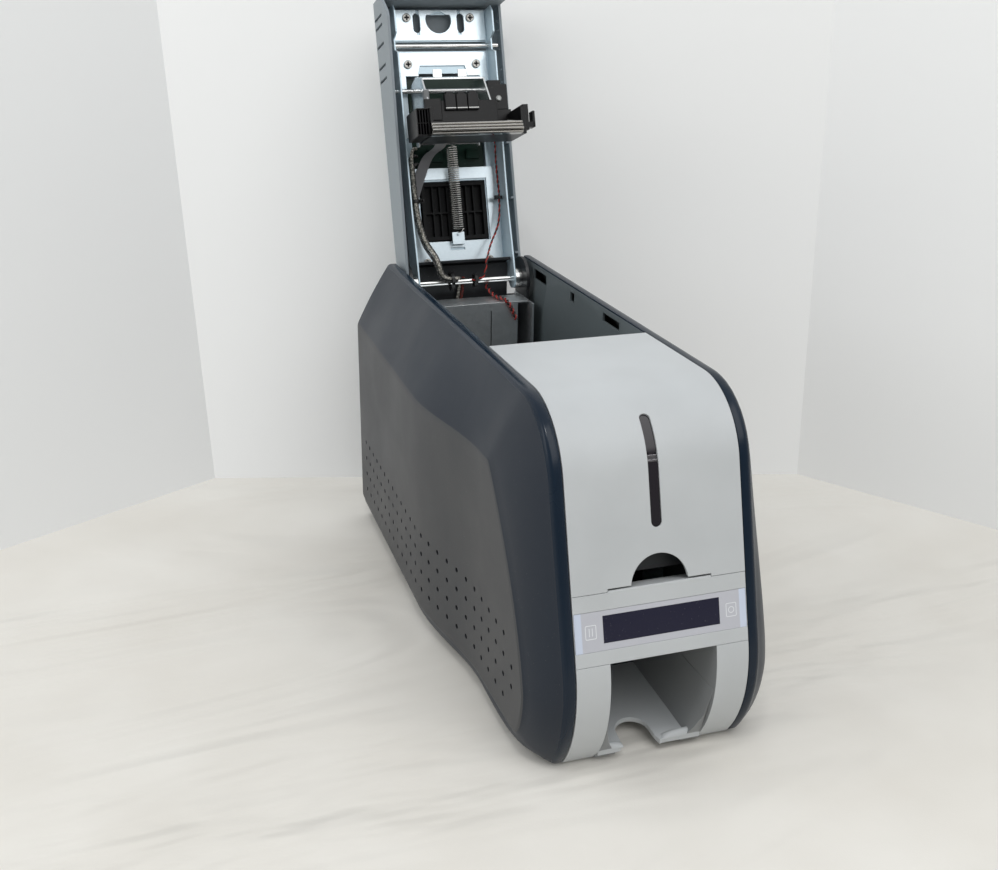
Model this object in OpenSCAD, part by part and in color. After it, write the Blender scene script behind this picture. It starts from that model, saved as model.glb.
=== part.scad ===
// Desktop card printer with a long rear cover standing open on its hinge rod.
// Sizes are in millimetres. X is right as seen from the front, Y is to the back, Z is up.
// The floor is z = 0, and the frame's origin is the middle of the floor area with the cover open.

/* [Body] */
// Width over both side shells at their widest
body_w = 179; // [175:1:183]
// Width over the side shells at the rear
rear_w = 171; // [167:1:174]
// Length of the body from nose to rear panel
body_l = 391; // [385:1:400]
// Height of the rim of the side shells
rim_h = 211; // [209:1:213]
// Width over the side shells at the nose
nose_w = 154; // [148:1:158]
// Width of the light grey strip between the shells
strip_w = 106; // [104:1:108]
// Width of the rounded rim bead
rim_w = 8; // [7:0.5:9]
// Height of the crease between the shell's side and its sloping band
crease_h = 165; // [158:1:170]
// Wall thickness of the plastic shells
shell_wall = 2.5; // [2:0.1:3]
// How far the inner wall of a shell hangs down from the rim
skirt_drop = 82; // [70:1:83]

/* [Nose profile] */
// Lean of the front face from vertical, in degrees
front_rake = 15; // [13:0.5:17]
// Radius of the top corner
corner_r = 50; // [46:1:54]
// Radius of the chin curve
chin_r = 78; // [74:1:82]
// Height of the chin curve's centre
chin_z = 52; // [50:1:54]

/* [Rear cover] */
// Height of the hinge rod
hinge_h = 196; // [194:0.5:197]
// Distance of the hinge rod from the rear face
hinge_in = 11.5; // [11:0.5:13]
// Radius of the hinge rod
rod_r = 2.5; // [2:0.1:2.8]
// Length of the cover from the rod to its tip
cover_l = 219; // [214:1:220]
// Width of the cover
cover_w = 102; // [100:1:103]
// Distance from the rod to the cover's outer face
cover_out = 23.5; // [23:0.5:25]
// How far the open cover leans back from vertical, in degrees
cover_lean = 17; // [12:1:20]
// Wall thickness of the cover
cover_wall = 2; // [1.6:0.1:2.4]
// Sheet thickness of the metal frames
sheet_t = 1.2; // [1:0.1:1.5]

/* [Print path] */
// Height of the card path above the floor
path_h = 127; // [124:1:128]
// Radius of the rubber rollers
roller_r = 9; // [8:0.5:10]
// Radius of the roller shafts
shaft_r = 3; // [2.5:0.1:3.2]
// Distance of the printing line from the hinge rod
print_w = 108; // [104:1:112]
// Spacing of the drive rollers on each side of the printing line
roller_gap = 64; // [60:1:68]
// Width over the steel side plates
chassis_w = 92; // [90:1:94]

/* [Front] */
// Height of the hopper cover's lower edge
hopper_low = 111.6; // [108:0.2:114]
// Height of the display bezel's lower edge
bezel_low = 72.8; // [70:0.2:76]
// Height of the display window
window_h = 15; // [12:0.5:17]
// Width of the display window
window_w = 71; // [64:1:74]
// Width of the output opening
output_w = 65; // [62:1:68]

/* [Fits] */
// Clearance round a shaft in its bore
shaft_fit = 0.05; // [0.02:0.01:0.1]
// Gap between plastic pieces
gap = 0.3; // [0.2:0.05:0.4]

/* [Hidden] */
$fn = 48;

// The body's own middle line, and its ends
back = body_l / 2;
front = -body_l / 2;
half_w = body_w / 2;
rear_half = rear_w / 2;
nose_half = nose_w / 2;
rim_in = strip_w / 2;
rim_out = rim_in + rim_w;
strip_half = rim_in - gap;
// Room that the open cover takes behind the rear face
open_reach = cover_out * cos(cover_lean) + cover_l * sin(cover_lean) - hinge_in;
frame_y = -open_reach / 2;
hinge_y = back - hinge_in;

// Nose profile: chin circle, raked line, corner circle
foot_h = 2.5;
chin_y = front + chin_r;
corner_z = rim_h - corner_r;
corner_y = chin_y + (sin(front_rake) * (corner_z - chin_z) - (chin_r - corner_r)) / cos(front_rake);
corner_end_y = corner_y - corner_r * cos(front_rake);
chin_top_y = chin_y - chin_r * cos(front_rake);
chin_top_z = chin_z + chin_r * sin(front_rake);
floor_angle = asin((chin_z - foot_h) / chin_r);
chin_floor_y = chin_y - chin_r * cos(floor_angle);
// Nose steps of the shells, and their side curve between the wide rear and the slim nose
nose_steps = 16;
bend_steps = 8;
bend_y0 = -95;
bend_y1 = 8;
skirt_z = rim_h - skirt_drop;
skirt_t = 1.8;
// Crease of the shell's side, as a curve that leans back from its foremost point
crease_front = front + 22.5;
crease_mid_z = 50;
crease_lean = 0.257;
crease_bow = 0.00268;
foot_rise = 14.5;
foot_tuck = 5.5;

// Steel side plates and deck
panel_t = 2.7;
plate_t = 1.5;
plate_out = chassis_w / 2;
plate_in = plate_out - plate_t;
deck_half = plate_in - gap;
pan_z = foot_h + shell_wall + gap;
pan_top = pan_z + plate_t;
plate_front = -108;
plate_tower_y = 150;
bulkhead_y = -43.5;
deck_z = path_h - 0.6;
deck_t = 4;
ledge_z = hinge_h - 13;
ledge_y = hinge_y - 24;

// Rollers in line under the card path
platen_y = hinge_y - print_w;
roller_z = path_h - roller_r;
front_drive_y = platen_y - roller_gap;
rear_drive_y = platen_y + roller_gap;
pickup_y = -100;
cleaner_y = -54.2;
cleaner_r = 7;
cleaner_z = path_h + 1.3 + cleaner_r;
rubber_half = 26.5;
pulley_r = 6;
belt_t = 1;
belt_w = 5;
belt_x = plate_out + 1.7;
motor_drop = 37;

// Ribbon drive: take-up gear and its pinion
hub_z = 150;
takeup_y = 30;
supply_y = 122;
gear_module = 0.8;
hub_teeth = 40;
pinion_teeth = 12;
hub_gear_r = gear_module * hub_teeth / 2;
pinion_r = gear_module * pinion_teeth / 2;
ribbon_motor_z = hub_z - hub_gear_r - pinion_r;
bracket_t = 1.5;
gear_x = plate_out + bracket_t + 0.7;
gear_w = 3;

// Hopper cover and its hinge
hopper_back = -37.6;
hopper_pin_y = -44;
hopper_pin_z = rim_h - 5;
pin_r = 1.2;
notch_half = 17.5;
notch_top = hopper_low + 17;
step_half = 31.5;
step_h = 4;
slot_w = 6.5;
slot_low = 142.6;
slot_top = 199;
overlay_low = 80.5;
overlay_high = 102.3;
window_z = 91.9;

// Rear cover, drawn upright: X across, Y away from the front, Z from the rod to the tip
cover_half = cover_w / 2;
cover_foot = 3;
cover_round = 9;
flange_out = 40;
flange_in = flange_out - sheet_t;
web_y = 14.7;
flange_front = -4;
shell_in = cover_out - cover_wall;
frame_back = shell_in - gap;
plate_y = web_y - sheet_t;
frame_top = cover_l - 5;
head_pivot_y = 8;
head_pivot_z = 150;
head_r = 2;
spring_low = 42;
spring_high = 106;
spring_y = 7;

// Moves a piece from the body's own lines to the frame
module in_body() {
    translate([0, frame_y, 0]) children();
}

// Moves a piece drawn upright on the hinge rod to the open cover
module on_cover() {
    in_body() translate([0, hinge_y, hinge_h]) rotate([-cover_lean, 0, 0]) children();
}

// Extrudes an outline drawn in Y and Z from x0 to x1
module along_x(x0, x1) {
    translate([x0, 0, 0]) rotate([90, 0, 90]) linear_extrude(x1 - x0) children();
}

// Block between two corners
module block(a, b) {
    translate(a) cube(b - a);
}

// Round bar along X
module bar_x(y, z, r, x0, x1) {
    translate([x0, y, z]) rotate([0, 90, 0]) cylinder(r = r, h = x1 - x0);
}

// Both sides of a piece drawn on the right
module both_sides() {
    children();
    mirror([1, 0, 0]) children();
}

// Points of an arc in the YZ plane
function arc_pts(c, r, a0, a1, n) =
    [for (i = [0:n]) let (a = a0 + (a1 - a0) * i / n) [c[0] + r * cos(a), c[1] + r * sin(a)]];

// Height of the body's outline above the floor at each y
function top_at(y) =
    y > corner_y ? rim_h
    : y > corner_end_y ? corner_z + sqrt(max(0, corner_r ^ 2 - (y - corner_y) ^ 2))
    : y > chin_top_y ? chin_top_z + (y - chin_top_y) / tan(front_rake)
    : chin_z + sqrt(max(0, chin_r ^ 2 - (y - chin_y) ^ 2));
function bottom_at(y) =
    y > chin_floor_y ? foot_h : chin_z - sqrt(max(0, chin_r ^ 2 - (y - chin_y) ^ 2));

// Side outline of the body, drawn in by d
function outline(d) = concat(
    [[back + 60, rim_h - d]],
    arc_pts([corner_y, corner_z], corner_r - d, 90, 180 - front_rake, 10),
    arc_pts([chin_y, chin_z], chin_r - d, 180 - front_rake, 180 + floor_angle, 10),
    [[chin_floor_y, foot_h - 20], [back + 60, foot_h - 20]]);

// Half width of the shell's side, its crease heights, and its floor line
function bend_at(y) = let (t = max(0, min(1, (y - bend_y0) / (bend_y1 - bend_y0)))) t * t * (3 - 2 * t);
function side_at(y) =
    y < crease_front ? rim_out + (nose_half - rim_out) * (y - front) / (crease_front - front)
    : nose_half + (half_w - nose_half) * bend_at(y)
        - (half_w - rear_half) * max(0, y - bend_y1) / (back - bend_y1);
function crease_run(y) =
    (sqrt(crease_lean ^ 2 + 4 * crease_bow * max(0, y - crease_front)) - crease_lean) / (2 * crease_bow);
function upper_crease(y) = min(crease_h, crease_mid_z + 1.5 + crease_run(y));
function lower_crease(y) =
    let (t = max(0, min(1, (y - crease_front) / 16)))
    crease_mid_z - 1.5 - (crease_mid_z - foot_h - foot_rise) * sqrt(1 - (1 - t) ^ 2);
function floor_side_at(y) =
    let (t = max(0, min(1, (-130 - y) / 47)))
    rim_in + 1 + (side_at(y) - foot_tuck - rim_in - 1) * sqrt(1 - t ^ 2);

// Sections across the shell at y: its outside, and the hollow inside it. The hollow opens to the
// middle of the body below the skirt
function hollow_floor(y) = bottom_at(y - 3) + shell_wall;
function skirt_low(y) = min(skirt_z, top_at(y - 3) - shell_wall - 12);
function outer_ring(y) = [
    [rim_in, y, top_at(y) - 1],
    [rim_in + 1, y, top_at(y)],
    [rim_out - 1.5, y, top_at(y)],
    [rim_out, y, top_at(y) - 2],
    [side_at(y), y, upper_crease(y)],
    [side_at(y), y, lower_crease(y)],
    [floor_side_at(y), y, bottom_at(y)],
    [rim_in, y, bottom_at(y)]];
function inner_ring(y) =
    let (q = y - 3, z1 = top_at(q) - shell_wall)
    [[rim_in + skirt_t, y, z1],
    [rim_out - shell_wall, y, z1],
    [side_at(q) - shell_wall, y, upper_crease(q) - 1],
    [side_at(q) - shell_wall, y, lower_crease(q)],
    [max(rim_in + skirt_t + 0.6, floor_side_at(q) - shell_wall), y, hollow_floor(y)],
    [rim_in + skirt_t, y, hollow_floor(y)]];

// Solid through a row of sections that have the same number of points
module loft(rings) {
    n = len(rings[0]);
    m = len(rings);
    sides = [for (i = [0:m - 2], k = [0:n - 1]) let (a = i * n + k, b = i * n + (k + 1) % n)
        each [[a, a + n, b], [b, a + n, b + n]]];
    caps = [[for (k = [0:n - 1]) k], [for (k = [n - 1:-1:0]) (m - 1) * n + k]];
    polyhedron([for (r = rings) each r], concat(sides, caps));
}

shell_ys = concat(
    [for (i = [1:nose_steps]) front + (corner_y - front) * (1 - cos(90 * i / nose_steps))],
    [for (i = [0:bend_steps]) bend_y0 + (bend_y1 - bend_y0) * i / bend_steps]);

// Clip windows in the inner wall: start, end and lower edge
clip_windows = [[4, 32, rim_h - 11], [85, 93, rim_h - 12], [143, 171, rim_h - 13]];
clip_top = rim_h - 5;

hollow_ys = concat([for (y = shell_ys) if (y > front + 9) y], [back - shell_wall]);
opening_ys = concat([for (i = [1:len(hollow_ys) - 2]) hollow_ys[i]], [back - shell_wall - 0.1]);
module skirt_opening() {
    n = len(opening_ys);
    polygon(concat([for (y = opening_ys) [y, hollow_floor(y) + 0.2]],
        [for (i = [n - 1:-1:0]) [opening_ys[i], skirt_low(opening_ys[i])]]));
}

module shell() {
    difference() {
        loft([for (y = concat(shell_ys, [back])) outer_ring(y)]);
        loft([for (y = hollow_ys) inner_ring(y)]);
        along_x(rim_in - 1, rim_in + skirt_t + 0.5) skirt_opening();
        for (w = clip_windows)
            block([rim_in - 1, w[0], w[2]], [rim_in + skirt_t + 0.5, w[1], clip_top]);
    }
}

module left_shell() {
    color("darkslategray") in_body() mirror([1, 0, 0]) shell();
}

module right_shell() {
    color("darkslategray") in_body() shell();
}

// Bottom pan of sheet steel that stands on the shells' floor flanges
pan_back = back - panel_t;
pan_half_rear = side_at(back) - foot_tuck - shell_wall - 4.5;
pan_half_front = nose_half - foot_tuck - shell_wall - 3;
module base_pan() {
    color("silver") in_body() translate([0, 0, pan_z]) linear_extrude(plate_t)
        polygon([[-pan_half_front, plate_front + 2], [pan_half_front, plate_front + 2],
            [pan_half_front, -60], [pan_half_rear, 0], [pan_half_rear, pan_back],
            [-pan_half_rear, pan_back], [-pan_half_rear, 0], [-pan_half_front, -60]]);
}

// Four rubber feet under the shells' floor flanges
foot_x = rim_in + 9;
foot_r = 7.5;
foot_front_y = -96;
foot_rear_y = back - 35;
module rubber_feet() {
    color("dimgray") in_body() both_sides() for (y = [foot_front_y, foot_rear_y])
        translate([foot_x, y, 0]) cylinder(r = foot_r, h = foot_h);
}

// Rear panel with its port cut-outs, closed at the top by a cap round the hinge rod
panel_low = foot_h + 1;
cap_r = 17;
cap_t = 2;
cap_half = flange_in - 0.8;
board_t = 1.6;
board_z = pan_top + 6;
board_top = board_z + board_t;
jack_x = -30;
jack_z = board_top + 9;
jack_r = 4.2;
data_x = [2, 22];
data_w = [12.4, 16.4];
data_h = [11.4, 13.4];
switch_x = -30;
switch_z = 56;
switch_w = 14;
switch_h = 20;
vent_rows = 6;
vent_pitch = 6;
vent_z = 92;
module rear_panel() {
    color("#23282e") in_body() difference() {
        union() {
            block([-strip_half, back - panel_t, panel_low], [strip_half, back, ledge_z - 2.6]);
            block([-cap_half, back - panel_t, ledge_z - 4], [cap_half, back, hinge_h + 11]);
            along_x(-cap_half, cap_half) difference() {
                intersection() {
                    translate([hinge_y, hinge_h]) circle(r = cap_r);
                    translate([hinge_y + 1.5, hinge_h + 5]) square([back - hinge_y - 1.5, cap_r]);
                }
                translate([hinge_y, hinge_h]) circle(r = cap_r - cap_t);
            }
        }
        translate([jack_x, back - panel_t - 1, jack_z]) rotate([-90, 0, 0])
            cylinder(r = jack_r + gap, h = 5);
        for (i = [0, 1])
            block([data_x[i] - gap, back - panel_t - 1, board_top],
                [data_x[i] + data_w[i] + gap, back + 1, board_top + data_h[i] + gap]);
        block([switch_x - switch_w / 2, back - panel_t - 1, switch_z - switch_h / 2],
            [switch_x + switch_w / 2, back + 1, switch_z + switch_h / 2]);
        for (i = [0:vent_rows - 1])
            block([-8, back - panel_t - 1, vent_z + vent_pitch * i],
                [38, back + 1, vent_z + 2.4 + vent_pitch * i]);
    }
}

// Sockets on the main board that look out through the rear panel
module power_inlet() {
    color("#1b1b1d") in_body() difference() {
        union() {
            block([jack_x - 7, back - 18, board_top], [jack_x + 7, back - panel_t - gap, jack_z + 7]);
            translate([jack_x, back - panel_t - 1, jack_z]) rotate([-90, 0, 0]) cylinder(r = jack_r, h = panel_t + 1);
        }
        translate([jack_x, back - 12, jack_z]) rotate([-90, 0, 0]) cylinder(r = jack_r - 1, h = 14);
    }
}

module data_ports() {
    color("silver") in_body() for (i = [0, 1]) difference() {
        block([data_x[i], back - 17, board_top], [data_x[i] + data_w[i], back, board_top + data_h[i]]);
        block([data_x[i] + 1, back - 13, board_top + 1.4],
            [data_x[i] + data_w[i] - 1, back + 1, board_top + data_h[i] - 1.2]);
    }
}

module switch_frame() {
    color("#1b1b1d") in_body() difference() {
        union() {
            block([switch_x - switch_w / 2 + gap, back - 9, switch_z - switch_h / 2 + gap],
                [switch_x + switch_w / 2 - gap, back + 0.1, switch_z + switch_h / 2 - gap]);
            block([switch_x - switch_w / 2 - 1, back, switch_z - switch_h / 2 - 1],
                [switch_x + switch_w / 2 + 1, back + 1, switch_z + switch_h / 2 + 1]);
        }
        block([switch_x - 5.7, back - 7.5, switch_z - 8.9], [switch_x + 5.7, back + 2, switch_z + 8.9]);
        bar_x(back - 3, switch_z, 1.05, switch_x - 6.4, switch_x + 6.4);
    }
}

module power_rocker() {
    color("#151517") in_body() translate([switch_x, back - 3, switch_z]) rotate([7, 0, 0]) union() {
        along_x(-5.4, 5.4) polygon([[-3.4, -2.4], [2, -7.6], [5.4, -7.8], [3.4, 0], [5.4, 7.8], [2, 7.6], [-3.4, 2.4]]);
        bar_x(0, 0, 1, -6.2, 6.2);
    }
}

// Steel side plates that carry every shaft
tower_top = ledge_z;
motor_notch = 15.5;
module side_plate_outline() {
    polygon([[plate_front, pan_top], [plate_front, hub_z], [-36, hub_z], [-36, deck_z - 0.4],
        [plate_tower_y, deck_z - 0.4], [plate_tower_y, tower_top], [back - panel_t, tower_top],
        [back - panel_t, pan_top]]);
}

module shaft_bores() {
    for (y = [pickup_y, front_drive_y, platen_y, rear_drive_y])
        translate([y, roller_z]) circle(r = shaft_r + shaft_fit);
    translate([cleaner_y, cleaner_z]) circle(r = shaft_r + shaft_fit);
}

module left_side_plate() {
    color("lightsteelblue") in_body() along_x(-plate_out, -plate_in) difference() {
        side_plate_outline();
        shaft_bores();
        translate([platen_y, roller_z - motor_drop]) circle(r = motor_pilot_r + gap);
        translate([takeup_y - motor_notch / 2 - 6, ribbon_motor_z - 14]) square([motor_notch + 12, 40]);
        translate([-70, 30]) square([90, 50]);
    }
}

module right_side_plate() {
    color("lightsteelblue") in_body() along_x(plate_in, plate_out) difference() {
        side_plate_outline();
        shaft_bores();
        translate([-70, 30]) square([90, 50]);
    }
}

// Steel bracket under the hinge rod: a ledge with a face that turns down in front
ledge_half = plate_in - gap;
module hinge_ledge() {
    color("lightgray") in_body() difference() {
        union() {
            block([-ledge_half, ledge_y, ledge_z - sheet_t], [ledge_half, hinge_y - 3, ledge_z]);
            block([-36, ledge_y, deck_z + 2], [36, ledge_y + sheet_t, ledge_z]);
        }
        block([13.6, ledge_y - 1, deck_z + 12], [14.4, ledge_y + sheet_t + 1, ledge_z - 6]);
    }
}

// Hinge rod with its bearing blocks and bushes
block_r = 16.7;
block_in = plate_out;
block_out = plate_out + 2.6;
bush_r = 8;
module hinge_rod() {
    color("silver") in_body() bar_x(hinge_y, hinge_h, rod_r, 0.7 - cover_half, cover_half - 0.7);
}

module hinge_blocks() {
    color("#17181a") in_body() both_sides() along_x(block_in, block_out) difference() {
        intersection() {
            union() {
                translate([hinge_y, hinge_h]) circle(r = block_r, $fn = 96);
                translate([hinge_y - 15, hinge_h - 40]) square([23, 40]);
            }
            translate([hinge_y - 30, 0]) square([30 + hinge_in - gap, 300]);
        }
        translate([hinge_y, hinge_h]) circle(r = rod_r + shaft_fit);
    }
}

module hinge_bushes() {
    color("silver") in_body() both_sides() along_x(flange_out + gap, block_in - gap) difference() {
        translate([hinge_y, hinge_h]) circle(r = bush_r);
        translate([hinge_y, hinge_h]) circle(r = rod_r + shaft_fit);
    }
}

// Card feeder under the hopper cover
feeder_half = 28.2;
feeder_wall = 2.5;
cheek_in = 40;
tray_back = -62;
tray_in = 14;
output_top = bezel_low - gap;
module feeder_tray() {
    color("#1d1f22") in_body() difference() {
        union() {
            along_x(-deck_half, deck_half) intersection() {
                translate([-190, deck_z - deck_t]) square([190 + tray_back + 2, deck_t]);
                polygon(outline(tray_in));
            }
            both_sides() along_x(feeder_half, feeder_half + feeder_wall) intersection() {
                translate([-170, deck_z - 1]) square([170 + tray_back, 70]);
                polygon(outline(6));
            }
            block([-feeder_half - 1, tray_back - feeder_wall, path_h + 1.6], [feeder_half + 1, tray_back, deck_z + 64]);
            along_x(-deck_half, deck_half) intersection() {
                translate([-190, hopper_low + 2]) square([40, deck_z - hopper_low]);
                difference() {
                    polygon(outline(tray_in));
                    polygon(outline(tray_in + feeder_wall));
                }
            }
            both_sides() along_x(cheek_in, deck_half) intersection() {
                translate([-190, output_top + gap]) square([190 + plate_front - gap, deck_z - output_top - 2]);
                polygon(outline(3 + gap));
            }
        }
        block([-15.5, pickup_y - roller_r - 1, deck_z - deck_t - 1], [15.5, pickup_y + roller_r + 1, deck_z + 1]);
    }
}

// Wall behind the feeder, with the ears that hold the hopper cover's pins
wall_back = -43.8;
wall_t = 2.2;
ear_in = 46.2;
ear_out = strip_half - 3;
ear_r = 2.3;
module hopper_bulkhead() {
    color("#1d1f22") in_body() difference() {
        union() {
            block([-deck_half, wall_back - wall_t, path_h + 3], [deck_half, wall_back, hub_z + 2]);
            block([-ear_out, wall_back - wall_t, hub_z], [ear_out, wall_back, rim_h - 9]);
            both_sides() along_x(ear_in, ear_out) {
                translate([hopper_pin_y - 4, hub_z]) square([ear_r + 4, hopper_pin_z - hub_z]);
                translate([hopper_pin_y, hopper_pin_z]) circle(r = ear_r);
            }
        }
        both_sides() bar_x(hopper_pin_y, hopper_pin_z, pin_r + shaft_fit, ear_in - 1, ear_out + 1);
    }
}

// Band of the body's outline between two depths
module rind(d0, d1, x0, x1, z0, z1) {
    along_x(x0, x1) intersection() {
        difference() {
            polygon(outline(d0));
            polygon(outline(d1));
        }
        translate([front - 5, z0]) square([body_l, z1 - z0]);
    }
}

// Hopper cover: top and front in one moulding, with finger notch and window slot
skirt_in = 12;
module hopper_cover() {
    color("lightgray") in_body() difference() {
        union() {
            intersection() {
                rind(0, shell_wall, -strip_half, strip_half, hopper_low, rim_h + 1);
                block([-60, -300, 0], [60, hopper_back, 300]);
            }
            both_sides() intersection() {
                rind(shell_wall - 0.2, skirt_in, strip_half - 2.4, strip_half, hopper_low, rim_h + 1);
                block([0, -300, 0], [60, hopper_pin_y - 3, 300]);
            }
            both_sides() bar_x(hopper_pin_y, hopper_pin_z, 3.4, strip_half - 2.4, strip_half);
            both_sides() bar_x(hopper_pin_y, hopper_pin_z, pin_r, ear_in + 0.5, strip_half - 1);
        }
        block([-step_half, front - 5, hopper_low - 1], [step_half, -170, hopper_low + step_h]);
        along_y(front - 5, -170) notch_outline();
        rind(-1, shell_wall + 1, -slot_w / 2, slot_w / 2, slot_low + slot_w / 2, slot_top);
        along_y(front - 5, -160) translate([0, slot_low + slot_w / 2]) circle(r = slot_w / 2);
    }
}

// Extrudes an outline drawn in X and Z from y0 to y1
module along_y(y0, y1) {
    translate([0, y1, 0]) rotate([90, 0, 0]) linear_extrude(y1 - y0) children();
}

module notch_outline() {
    translate([0, notch_top - notch_half]) intersection() {
        circle(r = notch_half);
        translate([-notch_half, -notch_half]) square([2 * notch_half, 2 * notch_half]);
    }
}

// Smoky strip that closes the lower part of the window slot
insert_top = 178;
module hopper_window() {
    color("#30343a") in_body() union() {
        rind(0.5, shell_wall, -slot_w / 2 + gap, slot_w / 2 - gap, slot_low + slot_w / 2, insert_top);
        rind(shell_wall + gap, shell_wall + gap + 1, -slot_w / 2 - 2, slot_w / 2 + 2, slot_low - 3, insert_top + 3);
        rind(shell_wall - 0.1, shell_wall + gap + 0.1, -slot_w / 2 + gap, slot_w / 2 - gap, slot_low + 4, insert_top);
    }
}

// Loose plate that weighs the cards down on the pickup roller
pusher_t = 3;
pusher_travel = 55;
module card_pusher() {
    color("#2a2c30") in_body() difference() {
        block([-feeder_half + gap, -150, path_h + 0.4], [feeder_half - gap, tray_back - feeder_wall - gap, path_h + 0.4 + pusher_t]);
        block([-10, -120, path_h], [10, -84, path_h + 8]);
    }
}

// Display bezel with its overlay, glass and board
module display_bezel() {
    color("gainsboro") in_body() difference() {
        union() {
            rind(0, 3, -strip_half, strip_half, bezel_low, hopper_low - gap);
            rind(0, 3, -step_half + gap, step_half - gap, bezel_low + 5, hopper_low + step_h - gap);
            both_sides() rind(2, 11, strip_half - 2.4, strip_half, bezel_low, hopper_low - gap);
        }
        rind(-1, 1, -strip_half + 0.35, strip_half - 0.35, overlay_low, overlay_high);
        rind(-1, 4, -window_w / 2 + 1.4, window_w / 2 - 1.4, window_z - window_h / 2 + 1.2, window_z + window_h / 2 - 1.2);
    }
}

module display_overlay() {
    color("lavender") in_body() difference() {
        rind(0.1, 0.95, -strip_half + 0.5, strip_half - 0.5, overlay_low + 0.15, overlay_high - 0.15);
        rind(-1, 2, -window_w / 2, window_w / 2, window_z - window_h / 2, window_z + window_h / 2);
    }
}

module display_glass() {
    color("#231f36") in_body()
        rind(0.1, 0.95, 0.1 - window_w / 2, window_w / 2 - 0.1, window_z - window_h / 2 + 0.1, window_z + window_h / 2 - 0.1);
}

module display_board() {
    color("seagreen") in_body() {
        rind(8, 9.6, -cheek_in + gap, cheek_in - gap, 78, 108);
        rind(3 + gap, 8, -37, 37, window_z - 9, window_z + 9);
    }
}

// Output hopper: two pillars, a sloping floor with a finger cut-out and two lips
hopper_end = plate_front - 2;
floor_front = -181;
floor_rise = 0.13;
finger_r = 12;
finger_y = -157;
lip_in = 14;
module output_hopper() {
    half = output_w / 2;
    color("lightgray") in_body() difference() {
        union() {
            both_sides() along_x(half, strip_half) intersection() {
                polygon(outline(0));
                translate([front, foot_h]) square([hopper_end - front, output_top - foot_h]);
            }
            along_x(-half, half) intersection() {
                polygon(outline(0));
                polygon([[front, 8 + (front - floor_front) * floor_rise],
                    [hopper_end, 8 + (hopper_end - floor_front) * floor_rise],
                    [hopper_end, 5 + (hopper_end - floor_front) * floor_rise],
                    [front, 5 + (front - floor_front) * floor_rise]]);
            }
            block([-half, hopper_end - 2.5, foot_h + 2], [half, hopper_end, 60]);
            both_sides() rind(0, 3, lip_in, half, foot_h, 13);
        }
        both_sides() along_x(half + 2.5, strip_half - 2.5) intersection() {
            polygon(outline(2.5));
            translate([front, foot_h + 2.5]) square([200, output_top - foot_h - 5]);
        }
        translate([0, finger_y, 0]) cylinder(r = finger_r, h = 40);
        block([-finger_r, front - 5, 0], [finger_r, finger_y, 30]);
    }
}

// Black deck that the cards slide along, between two rails
rail_in = 27.6;
module card_track() {
    color("#202226") in_body() difference() {
        union() {
            block([-deck_half, tray_back + 2.3, deck_z - deck_t], [deck_half, plate_tower_y - 1, deck_z]);
            both_sides() for (y = [[wall_back + 1.5, platen_y - 13], [platen_y + 13, plate_tower_y - 1]])
                block([rail_in, y[0], deck_z - 1], [rail_in + 2, y[1], deck_z + 3]);
        }
        for (y = [front_drive_y, platen_y, rear_drive_y])
            block([-rubber_half - 0.8, y - roller_r - 0.8, deck_z - deck_t - 1], [rubber_half + 0.8, y + roller_r + 0.8, deck_z + 1]);
        block([-deck_half - 1, takeup_y - 14, deck_z - deck_t - 1], [-30, takeup_y + 14, deck_z + 1]);
    }
}

// Rubber roller on its steel shaft, with a belt pulley at the right end
module roller(y, half) {
    bar_x(y, roller_z, roller_r, -half, half);
    bar_x(y, roller_z, shaft_r, -plate_out - 2, belt_x + belt_w + 1);
    pulley(y, roller_z, pulley_r, belt_x);
}

module pulley(y, z, r, x) {
    bar_x(y, z, r, x - gap, x + belt_w + gap);
    bar_x(y, z, r + 2, x - gap - 0.8, x - gap);
    bar_x(y, z, r + 2, x + belt_w + gap, x + belt_w + gap + 0.8);
}

module pickup_roller() {
    color("#3a3a3c") in_body() roller(pickup_y, 14);
}

module front_drive_roller() {
    color("#3a3a3c") in_body() roller(front_drive_y, rubber_half);
}

module rear_drive_roller() {
    color("#3a3a3c") in_body() roller(rear_drive_y, rubber_half);
}

platen_pulley_r = 7;
module platen_roller() {
    color("#3a3a3c") in_body() {
        roller(platen_y, rubber_half);
        bar_x(platen_y, roller_z, shaft_r, -belt_x - belt_w - 1, -plate_out);
        pulley(platen_y, roller_z, platen_pulley_r, -belt_x - belt_w);
    }
}

module cleaning_roller() {
    color("steelblue") in_body() {
        bar_x(cleaner_y, cleaner_z, cleaner_r, -rubber_half, rubber_half);
        bar_x(cleaner_y, cleaner_z, shaft_r, -plate_out - 1.5, plate_out + 1.5);
    }
}

// Flat belt round two equal pulleys that lie along Y
module drive_belt() {
    color("#2b2b2b") in_body() along_x(belt_x, belt_x + belt_w) difference() {
        stadium(pickup_y, rear_drive_y, roller_z, pulley_r + gap + belt_t);
        stadium(pickup_y, rear_drive_y, roller_z, pulley_r + gap);
    }
}

module stadium(y0, y1, z, r) {
    translate([y0, z]) circle(r = r);
    translate([y1, z]) circle(r = r);
    translate([y0, z - r]) square([y1 - y0, 2 * r]);
}

// Belt from the motor pulley up to the platen shaft
motor_pulley_r = 5;
motor_pilot_r = 11;
module belt_shape(r0, r1) {
    tilt = asin((r1 - r0) / motor_drop);
    z0 = roller_z - motor_drop;
    translate([platen_y, z0]) circle(r = r0);
    translate([platen_y, roller_z]) circle(r = r1);
    polygon([[platen_y + r0 * cos(tilt), z0 - r0 * sin(tilt)],
        [platen_y + r1 * cos(tilt), roller_z - r1 * sin(tilt)],
        [platen_y - r1 * cos(tilt), roller_z - r1 * sin(tilt)],
        [platen_y - r0 * cos(tilt), z0 - r0 * sin(tilt)]]);
}

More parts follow.
